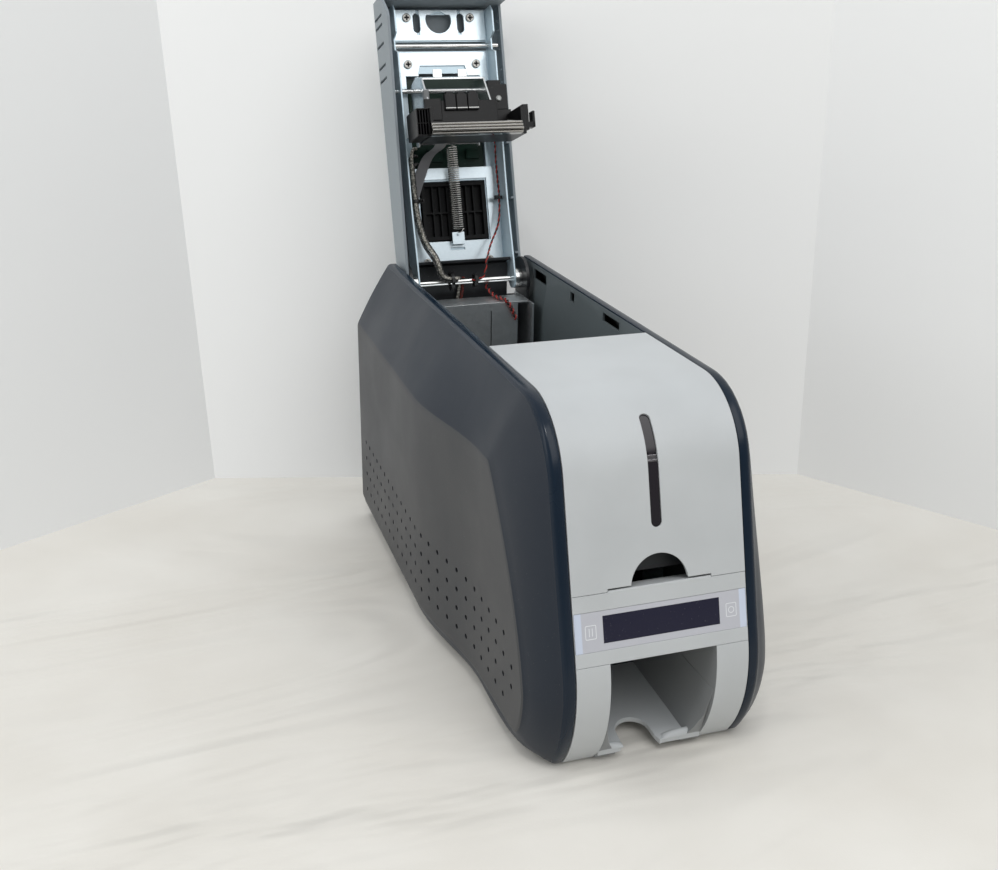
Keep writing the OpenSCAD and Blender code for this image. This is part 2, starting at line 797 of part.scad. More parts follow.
module motor_belt() {
    color("#2b2b2b") in_body() along_x(-belt_x - belt_w, -belt_x) difference() {
        belt_shape(motor_pulley_r + gap + belt_t, platen_pulley_r + gap + belt_t);
        belt_shape(motor_pulley_r + gap, platen_pulley_r + gap);
    }
}

motor_shaft_r = 2.5;
motor_len = 34;
motor_half = 20.5;
module drive_motor() {
    z0 = roller_z - motor_drop;
    color("#8d9096") in_body() difference() {
        union() {
            block([-plate_in, platen_y - motor_half, z0 - motor_half], [-plate_in + motor_len, platen_y + motor_half, z0 + motor_half]);
            bar_x(platen_y, z0, motor_pilot_r, -plate_out, -plate_in + 1);
        }
        bar_x(platen_y, z0, motor_shaft_r + shaft_fit, -plate_out - 1, -plate_in + 8);
    }
}

module motor_pulley() {
    color("silver") in_body() {
        pulley(platen_y, roller_z - motor_drop, motor_pulley_r, -belt_x - belt_w);
        bar_x(platen_y, roller_z - motor_drop, motor_shaft_r, -belt_x - belt_w - 1.5, -plate_in + 7);
    }
}

// Ribbon drive at the left: bracket, motor with pinion, and the two ribbon hubs
function gear_points(teeth, phase) =
    let (r = gear_module * teeth / 2, step = 360 / teeth)
    [for (i = [0:teeth - 1], k = [0:3])
        let (q = k == 0 || k == 3 ? r - 1 : r + 0.5)
        let (half = (k == 0 || k == 3 ? 0.86 : 0.34) / q * 180 / PI)
        let (a = phase + i * step + (k < 2 ? -half : half))
        [q * cos(a), q * sin(a)]];

ribbon_motor_r = 12;
journal_r = 5;
module ribbon_bracket() {
    color("silver") in_body() along_x(-plate_out - bracket_t, -plate_out) difference() {
        polygon([[18, 92], [56, 92], [56, 134], [100, 134], [100, 92], [132, 92], [132, 160], [126, 166],
            [26, 166], [18, 158]]);
        for (y = [takeup_y, supply_y])
            translate([y, hub_z]) circle(r = journal_r + shaft_fit);
        translate([takeup_y, ribbon_motor_z]) circle(r = 4);
        for (y = [22, 50, 106, 126])
            translate([y, 100]) circle(r = 1.6);
    }
}

module ribbon_motor() {
    color("#9a9da2") in_body() difference() {
        union() {
            bar_x(takeup_y, ribbon_motor_z, ribbon_motor_r, -plate_out, -plate_out + 14.5);
            bar_x(takeup_y, ribbon_motor_z, 3.8, -plate_out - bracket_t, -plate_out + 1);
            bar_x(takeup_y, ribbon_motor_z, 3, -plate_out + 14, -plate_out + 15.7);
        }
        bar_x(takeup_y, ribbon_motor_z, 1 + shaft_fit, -plate_out - bracket_t - 1, -plate_out + 8);
    }
}

module ribbon_pinion() {
    color("#d8d4c8") in_body() {
        along_x(-gear_x - gear_w, -gear_x) translate([takeup_y, ribbon_motor_z])
            polygon(gear_points(pinion_teeth, 15));
        bar_x(takeup_y, ribbon_motor_z, 1, -gear_x - gear_w, -plate_out + 7);
    }
}

hub_r = 7;
hub_reach = 12;
module ribbon_hub(y) {
    bar_x(y, hub_z, journal_r, -gear_x, -plate_out + 0.3);
    bar_x(y, hub_z, hub_r, -plate_out + 0.3, -plate_out + hub_reach);
    for (a = [0, 120, 240])
        translate([0, y, hub_z]) rotate([a, 0, 0]) block([-plate_out + 2, -1, 4], [-plate_out + hub_reach - 1, 1, hub_r + 1.4]);
}

module takeup_hub() {
    color("#e4e2da") in_body() {
        along_x(-gear_x - gear_w, -gear_x) translate([takeup_y, hub_z]) polygon(gear_points(hub_teeth, 0));
        ribbon_hub(takeup_y);
    }
}

module supply_hub() {
    color("#e4e2da") in_body() {
        bar_x(supply_y, hub_z, 11, -gear_x - 2, -gear_x);
        ribbon_hub(supply_y);
    }
}

// Main board on four posts over the base pan
board_y = 50;
module main_board() {
    color("darkgreen") in_body() union() {
        block([-42, board_y, board_z], [42, back - panel_t - gap, board_top]);
        both_sides() for (y = [board_y + 6, back - 14])
            translate([37, y, pan_top]) cylinder(r = 3, h = board_z - pan_top + 0.5);
        block([-36, 62, board_top - 0.2], [-24, 96, board_top + 8]);
        block([-6, 70, board_top - 0.2], [16, 92, board_top + 2]);
        block([24, 60, board_top - 0.2], [36, 84, board_top + 11]);
        for (i = [0:2])
            translate([-32 + 13 * i, 120, board_top - 0.2]) cylinder(r = 5, h = 16);
        block([8, 110, board_top - 0.2], [34, 130, board_top + 14]);
    }
}

// Tube along a row of points
function unit(v) = v / norm(v);
function tangent(p, i) = unit(p[min(len(p) - 1, i + 1)] - p[max(0, i - 1)]);
function ring_at(c, t, ref, r, n) =
    let (a = unit(cross(t, ref)), b = cross(t, a))
    [for (k = [0:n - 1]) c + r * cos(360 * k / n) * a + r * sin(360 * k / n) * b];
module tube(p, r, ref, n) {
    loft([for (i = [0:len(p) - 1]) ring_at(p[i], tangent(p, i), ref, r, n)]);
}

// Smooth row of points through the chosen ones, with m steps to each span
function spline(p, m) = concat([for (i = [0:len(p) - 2], k = [0:m - 1])
    let (a = p[max(0, i - 1)], b = p[i], c = p[i + 1], d = p[min(len(p) - 1, i + 2)], t = k / m)
    b + 0.5 * t * ((c - a) + t * ((2 * a - 5 * b + 4 * c - d) + t * (3 * (b - c) + d - a)))],
    [p[len(p) - 1]]);
function shifted(p, d) = [for (q = p) q + d];

// Leads in the body: two round ones from the rod down to the main board, and a twisted pair
// that goes over the ledge
lead_r = 1.3;
pair_r = 0.7;
rod_lead = [[-3, 5.5, 2], [-3.4, 6.1, -6], [-5.4, 4.8, -16], [-11, 4.2, -40], [-13, 4, -62], [-13, 2, -120],
    [-13, 0, board_top - hinge_h + 0.2]];
pair_run = [[18.5, 4.5, -5], [19.5, -2, -8.6], [22, -12, -11.2], [25.5, -22, -11], [28, -26.6, -14],
    [31, -26.6, -20], [34, -26.6, -27]];
pair_path = spline(pair_run, 4);
twist_r = 0.95;
twist_steps = 40;
function run_at(p, t) = let (s = t * (len(p) - 1), i = min(len(p) - 2, floor(s)), u = s - i)
    p[i] * (1 - u) + p[i + 1] * u;
function twisted(phase) = [for (k = [0:twist_steps])
    let (s = k / twist_steps, c = run_at(pair_path, s), n = phase + k * 60)
    let (t = unit(run_at(pair_path, min(1, s + 0.02)) - run_at(pair_path, max(0, s - 0.02))))
    let (a = unit(cross(t, [1, 0, 0])), b = cross(t, a))
    c + twist_r * cos(n) * a + twist_r * sin(n) * b];

// Cover, drawn upright on the rod: shell with slots in its sides and posts for the frame
tip_t = 2;
cover_foot_v = 17.6;
frame_posts = [[26, 17], [28, frame_top - 42], [26, frame_top - 6]];
board_posts = [[25, 93], [25, 155]];
post_r = 3.6;
vent_slots = [for (d = [56, 46, 30, 16, 9]) frame_top - d];
right_wall_v = 8.5;
function cover_side() = [[cover_out, cover_foot], [cover_out, cover_l - 4], [cover_out - 1.2, cover_l - 1.2],
    [cover_out - 4, cover_l], [-6, cover_l], [-10, cover_l - 2], [-24.6, cover_l - 16], [-26, cover_l - 20], [-25.6, cover_l - 25],
    [-15.2, 12], [-14.4, cover_foot]];
module cover_section(half, out, r) {
    translate([-half, -40]) square([2 * half, 40 + out - r]);
    translate([r - half, -40]) square([2 * half - 2 * r, 40 + out]);
    both_corners(half - r) translate([0, out - r]) circle(r = r);
}

module both_corners(x) {
    translate([-x, 0]) children();
    translate([x, 0]) children();
}

module cover_shell() {
    color("gainsboro") on_cover() difference() {
        union() {
            difference() {
                intersection() {
                    translate([0, 0, cover_foot]) linear_extrude(cover_l - cover_foot)
                        cover_section(cover_half, cover_out, cover_round);
                    along_x(-60, 60) polygon(cover_side());
                }
                translate([0, 0, -1]) linear_extrude(cover_l - tip_t + 1)
                    cover_section(cover_half - cover_wall, shell_in, cover_round - cover_wall);
            }
            block([-cover_half + 6, cover_foot_v, cover_foot], [cover_half - 6, shell_in + 0.5, cover_foot + 1.8]);
            both_sides() for (p = frame_posts)
                post_y(p, web_y + sheet_t, shell_in + 0.5, post_r);
            both_sides() for (p = board_posts)
                post_y(p, 18.8, shell_in + 0.5, 2.6);
            both_sides() for (w = [20, 64, 108, 140])
                block([cover_half - cover_wall - 2.2, 6, w], [cover_half - cover_wall + 0.5, shell_in + 0.5, w + 1.6]);
        }
        for (w = vent_slots) {
            block([-60, -8, w - 1.1], [0, 15, w + 1.1]);
            block([0, 11.5, w - 1.1], [60, 15, w + 1.1]);
        }
        block([30, -60, -1], [60, right_wall_v, cover_l - tip_t]);
        both_sides() for (p = frame_posts)
            post_y(p, web_y, shell_in - 0.5, screw_r);
    }
}

// Round post along the cover's depth, at p = [x, w]
module post_y(p, y0, y1, r) {
    translate([p[0], y1, p[1]]) rotate([90, 0, 0]) cylinder(r = r, h = y1 - y0);
}

// Folded steel frame of the cover: two flanges and a web with openings
web_low = 12;
screw_r = 1.4;
screw_head_r = 3.2;
rod_hole_w = frame_top - 28;
rod_hole_v = 12.5;
flange_tip_r = 8;
module flange_outline() {
    difference() {
        union() {
            polygon([[web_y + sheet_t, web_low], [web_y + sheet_t, frame_top], [flange_front + 4, frame_top],
                [flange_front, frame_top - 5], [flange_front, frame_top - 21], [4, frame_top - 24],
                [4, frame_top - 33], [flange_front, frame_top - 36],
                [flange_front, 60], [-7.5, 14], [-flange_tip_r, 0], [flange_tip_r, 0], [flange_tip_r + 2, 8]]);
            circle(r = flange_tip_r);
        }
        circle(r = rod_r + shaft_fit);
        translate([head_pivot_y, head_pivot_z]) circle(r = head_r + shaft_fit);
        translate([rod_hole_v, rod_hole_w]) circle(r = head_r + shaft_fit);
    }
}

module cover_frame() {
    color("silver") on_cover() union() {
        both_sides() along_x(flange_in, flange_out) flange_outline();
        difference() {
            block([-flange_out, web_y, web_low], [flange_out, web_y + sheet_t, frame_top]);
            block([-27.5, web_y - 1, 33], [27.5, web_y + 3, 80.5]);
            block([-30, web_y - 1, 91], [30, web_y + 3, frame_top - 49]);
            block([-38, web_y - 1, rod_hole_w - 3.5], [38, web_y + 3, rod_hole_w + 3.5]);
            both_sides() for (p = frame_posts)
                post_y(p, web_y - 1, web_y + 3, screw_r);
        }
    }
}

// Sheet plates screwed on the frame's web
module cover_plates() {
    color("lightgray") on_cover() union() {
        translate([0, web_y, 0]) rotate([90, 0, 0]) linear_extrude(sheet_t) difference() {
            union() {
                translate([-37, web_low + 0.5]) square([74, 20.5]);
                both_corners(33) translate([-4.5, 20]) square([9, 71]);
                translate([-37, 82]) square([74, 9]);
                translate([-37, frame_top - 51]) square([74, 18.5]);
                both_corners(34) translate([-3.5, 115]) square([7, frame_top - 164]);
                translate([-38, rod_hole_w + 4.5]) square([76, frame_top - rod_hole_w - 4.5]);
            }
            translate([0, frame_top - 51]) intersection() {
                translate([-20, -1]) square([40, 9]);
                circle(r = 20);
            }
            intersection() {
                translate([0, frame_top - 10]) circle(r = 9);
                translate([-10, frame_top - 14]) square([20, 20]);
            }
            both_corners(17) translate([-1.2, frame_top - 19]) square([2.4, 19]);
            for (p = frame_posts)
                both_corners(p[0]) translate([0, p[1]]) circle(r = screw_r);
            translate([-6, 26]) square([12, 2]);
        }
        block([-5, hook_v - sheet_t, 30], [5, web_y - sheet_t + 0.2, 30 + sheet_t]);
        block([-5, hook_v - sheet_t, 30], [5, hook_v, spring_low - 2.4]);
        block([-1, hook_v - 3.2, spring_low - 5], [1, hook_v, spring_low - 3.6]);
    }
}

hook_v = 9.4;
module cross_rod() {
    color("silver") on_cover() bar_x(rod_hole_v, rod_hole_w, head_r, -47, 47);
}

// Black cassette housing behind the web, with a ribbed recess
housing_v = 12.8;
module cover_housing() {
    color("#1e2023") on_cover() union() {
        difference() {
            block([-26.5, housing_v, 34], [26.5, shell_in - 0.05, 79.5]);
            block([-23.5, housing_v - 1, 37], [23.5, 18, 76.5]);
        }
        for (x = [-17, -11, -5, 5, 11, 17])
            block([x - 0.7, housing_v + 1.4, 36.5], [x + 0.7, 18.2, 77]);
        block([-24, housing_v + 1.4, 55], [24, 18.2, 56.4]);
    }
}

module cover_board() {
    color("seagreen") on_cover() union() {
        block([-29, 17.2, 88], [29, 18.8, 161]);
        block([-18, 13.6, 96], [-6, 17.4, 106]);
        block([-4, 14.8, 112], [10, 17.4, 126]);
        block([14, 14, 98], [25, 17.4, 105]);
        block([-22, 15.4, 132], [-14, 17.4, 146]);
        for (x = [14, 20])
            post_y([x, 140], 12.6, 17.4, 2.6);
    }
}

// Head assembly: shaft, arm, carrier, print head, sensor block and small spring
arm_left = -28;
arm_right = 21;
head_edge = path_h + 0.3 - hinge_h;
carrier_front = head_edge + 8.7;
carrier_back = carrier_front + 36;
module head_shaft() {
    color("silver") on_cover() bar_x(head_pivot_y, head_pivot_z, head_r, -42, 42);
}

module arm_cheek() {
    difference() {
        union() {
            translate([head_pivot_y, head_pivot_z]) circle(r = 5);
            polygon([[head_pivot_y + 3, 146], [head_pivot_y, 155], [-6, 158], [carrier_back + 2, 154],
                [carrier_back - 10, 136], [carrier_back - 16, 128], [carrier_back - 2, 128],
                [carrier_back + 10, 132], [1, 112], [2, 106], [7.5, 106], [8.5, 112]]);
        }
        translate([head_pivot_y, head_pivot_z]) circle(r = head_r + shaft_fit);
    }
}

module head_arm() {
    color("silver") on_cover() union() {
        for (x = [arm_left, arm_right])
            along_x(x, x + sheet_t) arm_cheek();
        along_x(arm_left, arm_right + sheet_t) polygon([[-6, 158], [carrier_back + 2, 154],
            [carrier_back + 2, 152.8], [-6, 156.8]]);
        along_x(arm_left, arm_right + sheet_t) polygon([[carrier_back - 16, 128],
            [carrier_back - 2, 128], [carrier_back - 2, 129.2], [carrier_back - 15.2, 129.2]]);
        for (x = [-16, 4])
            block([x, -14, 156.2], [x + 7, -14 + sheet_t, 162]);
        block([arm_left, 6.3, 108.2], [arm_right + sheet_t, 7.5, 111.8]);
    }
}

carrier_low = 104;
carrier_high = 128;
module head_carrier() {
    color("#1c1d20") on_cover() difference() {
        union() {
            block([-34, carrier_front, carrier_low], [40, carrier_back, carrier_high]);
            block([-43, carrier_front + 4, carrier_low + 1], [-33, carrier_back - 2, carrier_high - 3]);
            block([39, carrier_front + 3, carrier_low + 3], [43.5, carrier_back - 4, carrier_high - 2]);
            for (v = [carrier_front + 3, carrier_back - 12])
                block([43, v, carrier_low + 5], [48.5, v + 8, carrier_low + 9]);
            block([46.5, carrier_front + 3, carrier_low + 5], [48.5, carrier_front + 11, carrier_low + 17]);
        }
        block([-20, carrier_front - 1, carrier_low + 5], [24, carrier_front + 22, carrier_high - 5]);
        block([-30, carrier_back - 9, carrier_high - 6], [18, carrier_back + 1, carrier_high + 1]);
        for (i = [0:4])
            block([-44, carrier_front + 3, carrier_low + 4 + 4 * i], [-41.2, carrier_back - 1, carrier_low + 5.6 + 4 * i]);
    }
}

module print_head() {
    color("#b8b4a8") on_cover() union() {
        along_x(-36, 36) polygon([[carrier_front, 103.5], [carrier_front, 114], [carrier_front - 5, 112.5],
            [head_edge, print_w + 1.4], [head_edge, print_w - 1.4], [carrier_front - 5, 104.5]]);
        block([-32, carrier_front - 6.4, 112], [32, carrier_front - 0.5, 116]);
    }
}

// Springs: a row of points on a coil, and the least gap between neighbouring turns
function coil(turns, r, pitch) = [for (k = [0:8 * turns])
    [r * cos(45 * k), r * sin(45 * k), pitch * k / 8]];
function least_gap(p, wire_r) = min([for (i = [0:len(p) - 7])
    min([for (j = [i + 6:min(len(p) - 1, i + 10)]) norm(p[i] - p[j])])]) - 2 * wire_r;

lift_turns = 38;
lift_r = 4.4;
lift_wire = 0.45;
lift_pitch = (spring_high - spring_low) / lift_turns;
small_turns = 13;
small_r = 3.4;
small_wire = 0.4;
small_pitch = 22 / small_turns;
echo(least_gaps = [least_gap(coil(lift_turns, lift_r, lift_pitch), lift_wire),
    least_gap(coil(small_turns, small_r, small_pitch), small_wire)]);
module lift_spring() {
    color("silver") on_cover() translate([0, spring_y, 0]) {
        tube(concat([[0, 0, spring_low - 3], [2.4, 0, spring_low - 2.4]],
            shifted(coil(lift_turns, lift_r, lift_pitch), [0, 0, spring_low]),
            [[2.6, 0, spring_high + 1], [0, 0, spring_high + 1.6]]), lift_wire, [0.02, 0.03, 1], 6);
    }
}

spring_seat_v = carrier_front + 22 - small_r - small_wire - 0.1;
module head_spring() {
    color("silver") on_cover() translate([-8, spring_seat_v, 114]) rotate([0, 90, 0])
        tube(coil(small_turns, small_r, small_pitch), small_wire, [0, 0, 1], 6);
}

module sensor_block() {
    color("#26282c") on_cover() difference() {
        union() {
            block([22.6, carrier_back - 3, carrier_high], [38.4, carrier_back + 19, 146]);
            block([25, carrier_back - 7, 134], [37, carrier_back - 2, 142]);
        }
        block([27, carrier_back - 4, 139], [36, carrier_back + 12, 150]);
    }
}

// Flat cable on the plates, round cables on the frame, sensor wire and ties
function strip_ring(c, w, t, turn) = [for (s = [[-1, 1], [1, 1], [1, -1], [-1, -1]])
    c + [s[0] * w / 2 * cos(turn), s[1] * t / 2, s[0] * w / 2 * sin(turn)]];
flat_run = [[-15, carrier_back + 0.5, 108], [-15, carrier_back + 11, 104], [-16, -3, 102.4], [-18, 6, 101], [-21, 11.6, 96],
    [-27, 12.2, 83], [-33, 12.2, 68], [-33.8, 12.2, 60]];
module flat_cable() {
    color("white") on_cover() loft([for (p = spline(flat_run, 3)) strip_ring(p, 9, 0.5, 0)]);
}

bundle_run = [[-34.5, 10.2, 84], [-34.6, 8.5, 66], [-34, 6.2, 48], [-31, 2.4, 31], [-26.6, -6.8, 18],
    [-24.5, -8.4, 10.5], [-22.4, -7, 4], [-17.6, -5.6, 0.6], [-8, -5.4, 0]];
left_start = [[-26.5, 15.6, 101], [-30, 13, 101], [-33.8, 10.9, 98.4], [-34.6, 10, 93]];
right_start = [[-26.5, 15.6, 95], [-29.2, 13, 94.4], [-31.4, 10.8, 91.6]];
front_start = [[-26.5, 15.6, 107], [-29.3, 12.8, 106.6], [-32.2, 9.4, 102.6], [-33.4, 7.5, 94.6]];
cable_r = 1.3;
module cover_cables() {
    color("#222222") on_cover() {
        tube(spline(concat(left_start, bundle_run), 3), cable_r, [1, 0.1, 0], 8);
        tube(spline(concat(right_start, shifted(bundle_run, [2.8, 0, 2.8])), 3), cable_r, [1, 0.1, 0], 8);
        tube(spline(concat(front_start, shifted(bundle_run, [1, -2.6, 2.2])), 3), cable_r, [1, 0.1, 0], 8);
    }
}

wire_r = 1.1;
wire_run = [[31, -8, 147.6], [33.4, -5, 151], [35.6, 1, 143], [35.4, 2.6, 120], [36.2, 7.6, 92],
    [36.4, 7.8, 78], [35.9, 6, 65], [33, 4, 45], [24, 0.5, 28], [17, -7.2, 15], [15, -6.4, 5.5],
    [11.4, -5, 1.2], [4, -4.8, 0.4]];
module sensor_wire() {
    color("#222222") on_cover() tube(spline(wire_run, 4), wire_r, [1, 0.1, 0], 8);
}

// Cable tie: band, lock and tail
module tie(x, v, w, r, tail) {
    translate([x, v, w]) {
        difference() {
            cylinder(r = r + 0.9, h = 2.4, center = true);
            cylinder(r = r, h = 4, center = true);
        }
        translate([r + 0.2, -1.6, -1.6]) cube([2.2, 3.2, 3.2]);
        translate([r + 1.2, -0.6 - tail, -0.9]) cube([0.9, tail, 1.8]);
    }
}

module rod_tie(x, v, w, r) {
    along_x(x - 1.2, x + 1.2) translate([v, w]) {
        difference() {
            circle(r = r + 0.9);
            circle(r = r);
        }
        translate([-r - 2.6, -1.6]) square([2.4, 3.2]);
    }
}

module cable_ties() {
    color("#f0f0ec") on_cover() {
        tie(-33.2, 7.4, 65, 3.4, 6);
        mirror([1, 0, 0]) tie(-35.9, 6, 65, 1.6, 5);
        rod_tie(-12.5, -3.4, 0.7, 6.2);
        rod_tie(7.5, -1.7, 0.2, 4.4);
    }
}

module cover_screws() {
    color("silver") on_cover() both_sides() for (p = frame_posts) {
        post_y(p, plate_y - 1.6, plate_y, screw_head_r);
        post_y(p, plate_y - 0.5, shell_in - 1, screw_r);
    }
}

module body_wires() {
    color("#222222") in_body() translate([0, hinge_y, hinge_h]) {
        tube(spline(rod_lead, 4), lead_r, [1, 0.2, 0.1], 8);
        tube(spline(shifted(rod_lead, [3, 0.2, 0]), 4), lead_r, [1, 0.2, 0.1], 8);
        tube(twisted(0), pair_r, [0, 1, 0.1], 6);
        tube(twisted(180), pair_r, [0, 1, 0.1], 6);
    }
}

left_shell();
right_shell();
base_pan();
rubber_feet();
rear_panel();
power_inlet();
data_ports();
switch_frame();
power_rocker();
left_side_plate();
right_side_plate();
hinge_ledge();
hinge_rod();
hinge_blocks();
hinge_bushes();
feeder_tray();
hopper_bulkhead();
hopper_cover();
hopper_window();
card_pusher();
display_bezel();
display_overlay();
display_glass();
display_board();
output_hopper();
card_track();
pickup_roller();
front_drive_roller();
platen_roller();
rear_drive_roller();
cleaning_roller();
drive_belt();
motor_belt();
drive_motor();
motor_pulley();
ribbon_bracket();
ribbon_motor();
ribbon_pinion();
supply_hub();
takeup_hub();
main_board();
body_wires();
cover_shell();
cover_frame();
cover_plates();
cross_rod();
cover_housing();
cover_board();
lift_spring();
head_shaft();
head_arm();
head_carrier();
print_head();
head_spring();
sensor_block();
flat_cable();
cover_cables();
sensor_wire();
cable_ties();
cover_screws();
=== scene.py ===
"""Id card printer with its rear cover swung open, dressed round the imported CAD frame."""
import math

import bmesh
import bpy
from mathutils import Matrix, Vector


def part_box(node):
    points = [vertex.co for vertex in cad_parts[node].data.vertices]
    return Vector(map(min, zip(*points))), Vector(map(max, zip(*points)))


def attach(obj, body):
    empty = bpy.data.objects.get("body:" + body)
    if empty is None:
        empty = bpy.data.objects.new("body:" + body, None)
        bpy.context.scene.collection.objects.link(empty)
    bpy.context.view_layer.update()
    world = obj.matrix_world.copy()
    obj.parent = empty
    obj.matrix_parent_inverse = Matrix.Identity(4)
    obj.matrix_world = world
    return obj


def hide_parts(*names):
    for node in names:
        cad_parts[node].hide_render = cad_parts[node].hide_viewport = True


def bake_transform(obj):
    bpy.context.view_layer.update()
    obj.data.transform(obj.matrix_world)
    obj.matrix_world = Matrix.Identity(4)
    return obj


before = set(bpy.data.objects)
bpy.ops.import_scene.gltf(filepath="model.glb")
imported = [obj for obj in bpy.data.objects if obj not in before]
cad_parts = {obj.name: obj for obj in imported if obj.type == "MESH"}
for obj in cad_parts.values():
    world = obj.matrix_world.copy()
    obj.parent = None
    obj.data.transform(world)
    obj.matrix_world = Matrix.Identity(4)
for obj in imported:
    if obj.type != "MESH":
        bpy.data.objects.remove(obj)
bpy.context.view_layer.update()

# Camera: it stands before the printer, to its left and above it, where the photograph was
# taken. It looks along +Y, turned right by its yaw, down by its pitch and round by its roll.
CAMERA_PLACE = (-0.277107, -0.754756, 0.427232)
CAMERA_LENS = 43.76
YAW, PITCH, ROLL = 0.328126, 0.366462, 0.0115665

gaze = Vector((math.sin(YAW) * math.cos(PITCH), math.cos(YAW) * math.cos(PITCH), -math.sin(PITCH)))
level = Vector((math.cos(YAW), -math.sin(YAW), 0))
upward = level.cross(gaze)
camera = bpy.data.objects.new("camera", bpy.data.cameras.new("camera"))
camera.data.lens = CAMERA_LENS
camera.data.sensor_width = 36
camera.data.clip_start = 0.01
camera_axes = Matrix((level * math.cos(ROLL) + upward * math.sin(ROLL),
                      upward * math.cos(ROLL) - level * math.sin(ROLL), -gaze)).transposed()
camera.matrix_world = Matrix.Translation(CAMERA_PLACE) @ camera_axes.to_4x4()
bpy.context.collection.objects.link(camera)
bpy.context.scene.camera = camera
bpy.context.scene.view_settings.view_transform = "Standard"


# Room: a crumpled beige cloth on the table and three pale foam boards stood round it, hit by
# soft light from above. The boards are seen from their front only.
def add_node(tree, kind, settings=None, **sockets):
    """A node with its settings, each named socket linked or set; _ in a name is a space."""
    node = tree.nodes.new(kind)
    for name, value in (settings or {}).items():
        setattr(node, name, value)
    for name, value in sockets.items():
        socket = node.inputs[name.replace("_", " ")]
        if isinstance(value, bpy.types.NodeSocket):
            tree.links.new(value, socket)
        else:
            socket.default_value = value
    return node


def start_material(name, roughness, metallic=0.0, coat=0.0):
    """A material with its Principled shader, whose even values are set on its own sockets."""
    material = bpy.data.materials.new(name)
    material.use_nodes = True
    tree = material.node_tree
    shader = tree.nodes["Principled BSDF"]
    shader.inputs["Roughness"].default_value = roughness
    shader.inputs["Metallic"].default_value = metallic
    shader.inputs["Coat Weight"].default_value = coat
    return material, tree, shader


def new_object(name, bm, *materials):
    """An object from a bmesh, in the scene, with its materials."""
    mesh = bpy.data.meshes.new(name)
    bm.to_mesh(mesh)
    bm.free()
    for material in materials:
        mesh.materials.append(material)
    piece = bpy.data.objects.new(name, mesh)
    bpy.context.collection.objects.link(piece)
    return piece


def blend_colour(tree, mask, first, second, strength=1.0):
    """Colour that goes from first to second with the mask."""
    mix = add_node(tree, "ShaderNodeMix", {"data_type": "RGBA"})
    amount = add_node(tree, "ShaderNodeMath", {"operation": "MULTIPLY"})
    tree.links.new(mask, amount.inputs[0])
    amount.inputs[1].default_value = strength
    tree.links.new(amount.outputs[0], mix.inputs[0])
    for socket, colour in ((mix.inputs[6], first), (mix.inputs[7], second)):
        if isinstance(colour, bpy.types.NodeSocket):
            tree.links.new(colour, socket)
        else:
            socket.default_value = (*colour, 1)
    return mix.outputs[2]


def give_surface(tree, shader, tint, height, strength, depth, settings=None, **normal):
    """Feeds a shader its colour and the bump of a height, over another normal if one is given."""
    tree.links.new(tint, shader.inputs["Base Color"])
    bump = add_node(tree, "ShaderNodeBump", settings, Strength=strength, Distance=depth, Height=height,
                    **normal)
    tree.links.new(bump.outputs[0], shader.inputs["Normal"])


FLOOR_COLOUR, FLOOR_STAIN = (0.76, 0.735, 0.685), (0.71, 0.68, 0.625)
WALL_COLOUR, WALL_SHADE = (0.93, 0.935, 0.935), (0.90, 0.905, 0.90)
WALL_HEIGHT = 1.1
BOARD_STEPS = 12
# Foot of the boards from left to right, and how far each post leans back over the height
WALL_FEET = [(-0.95, -0.145), (-0.1955, 0.2714), (0.3104, 0.1254), (0.80, -0.66)]
WALL_LEANS = [(0, 0), (-0.03, 0.20), (0, 0.05), (0, 0)]

cloth, tree, shader = start_material("table cloth", 0.85)
place = add_node(tree, "ShaderNodeTexCoord").outputs["Object"]
drawn = add_node(tree, "ShaderNodeMapping", Vector=place, Rotation=(0, 0, 0.35), Scale=(0.55, 1.5, 1))
folds = add_node(tree, "ShaderNodeTexNoise", Vector=drawn.outputs[0], Scale=4.2, Detail=3, Distortion=1.2)
creases = add_node(tree, "ShaderNodeTexNoise", {"noise_type": "RIDGED_MULTIFRACTAL"},
                   Vector=drawn.outputs[0], Scale=5.5, Detail=3, Distortion=1.4)
stains = add_node(tree, "ShaderNodeTexNoise", Vector=place, Scale=9, Detail=5)
weave = add_node(tree, "ShaderNodeTexNoise", Vector=place, Scale=900, Detail=1)
tone = add_node(tree, "ShaderNodeMapRange", Value=stains.outputs[0], From_Min=0.35, From_Max=0.7)
soft = add_node(tree, "ShaderNodeBump", Strength=1.0, Distance=0.022, Height=folds.outputs[0])
sharp = add_node(tree, "ShaderNodeBump", Strength=0.5, Distance=0.004,
                 Height=creases.outputs[0], Normal=soft.outputs[0])
give_surface(tree, shader, blend_colour(tree, tone.outputs[0], FLOOR_COLOUR, FLOOR_STAIN),
             weave.outputs[0], 0.15, 0.0003, Normal=sharp.outputs[0])

bm = bmesh.new()
bmesh.ops.create_grid(bm, x_segments=8, y_segments=8, size=2.5)
table = new_object("table", bm, cloth)

board, tree, shader = start_material("foam board", 0.8)
place = add_node(tree, "ShaderNodeTexCoord").outputs["Object"]
paper = add_node(tree, "ShaderNodeTexNoise", Vector=place, Scale=2.5, Detail=6)
give_surface(tree, shader, blend_colour(tree, paper.outputs[0], WALL_COLOUR, WALL_SHADE),
             paper.outputs[0], 0.12, 0.004)
side = add_node(tree, "ShaderNodeNewGeometry").outputs["Backfacing"]
clear = add_node(tree, "ShaderNodeBsdfTransparent")
either = add_node(tree, "ShaderNodeMixShader")
tree.links.new(side, either.inputs[0])
tree.links.new(shader.outputs[0], either.inputs[1])
tree.links.new(clear.outputs[0], either.inputs[2])
tree.links.new(either.outputs[0], tree.nodes["Material Output"].inputs["Surface"])

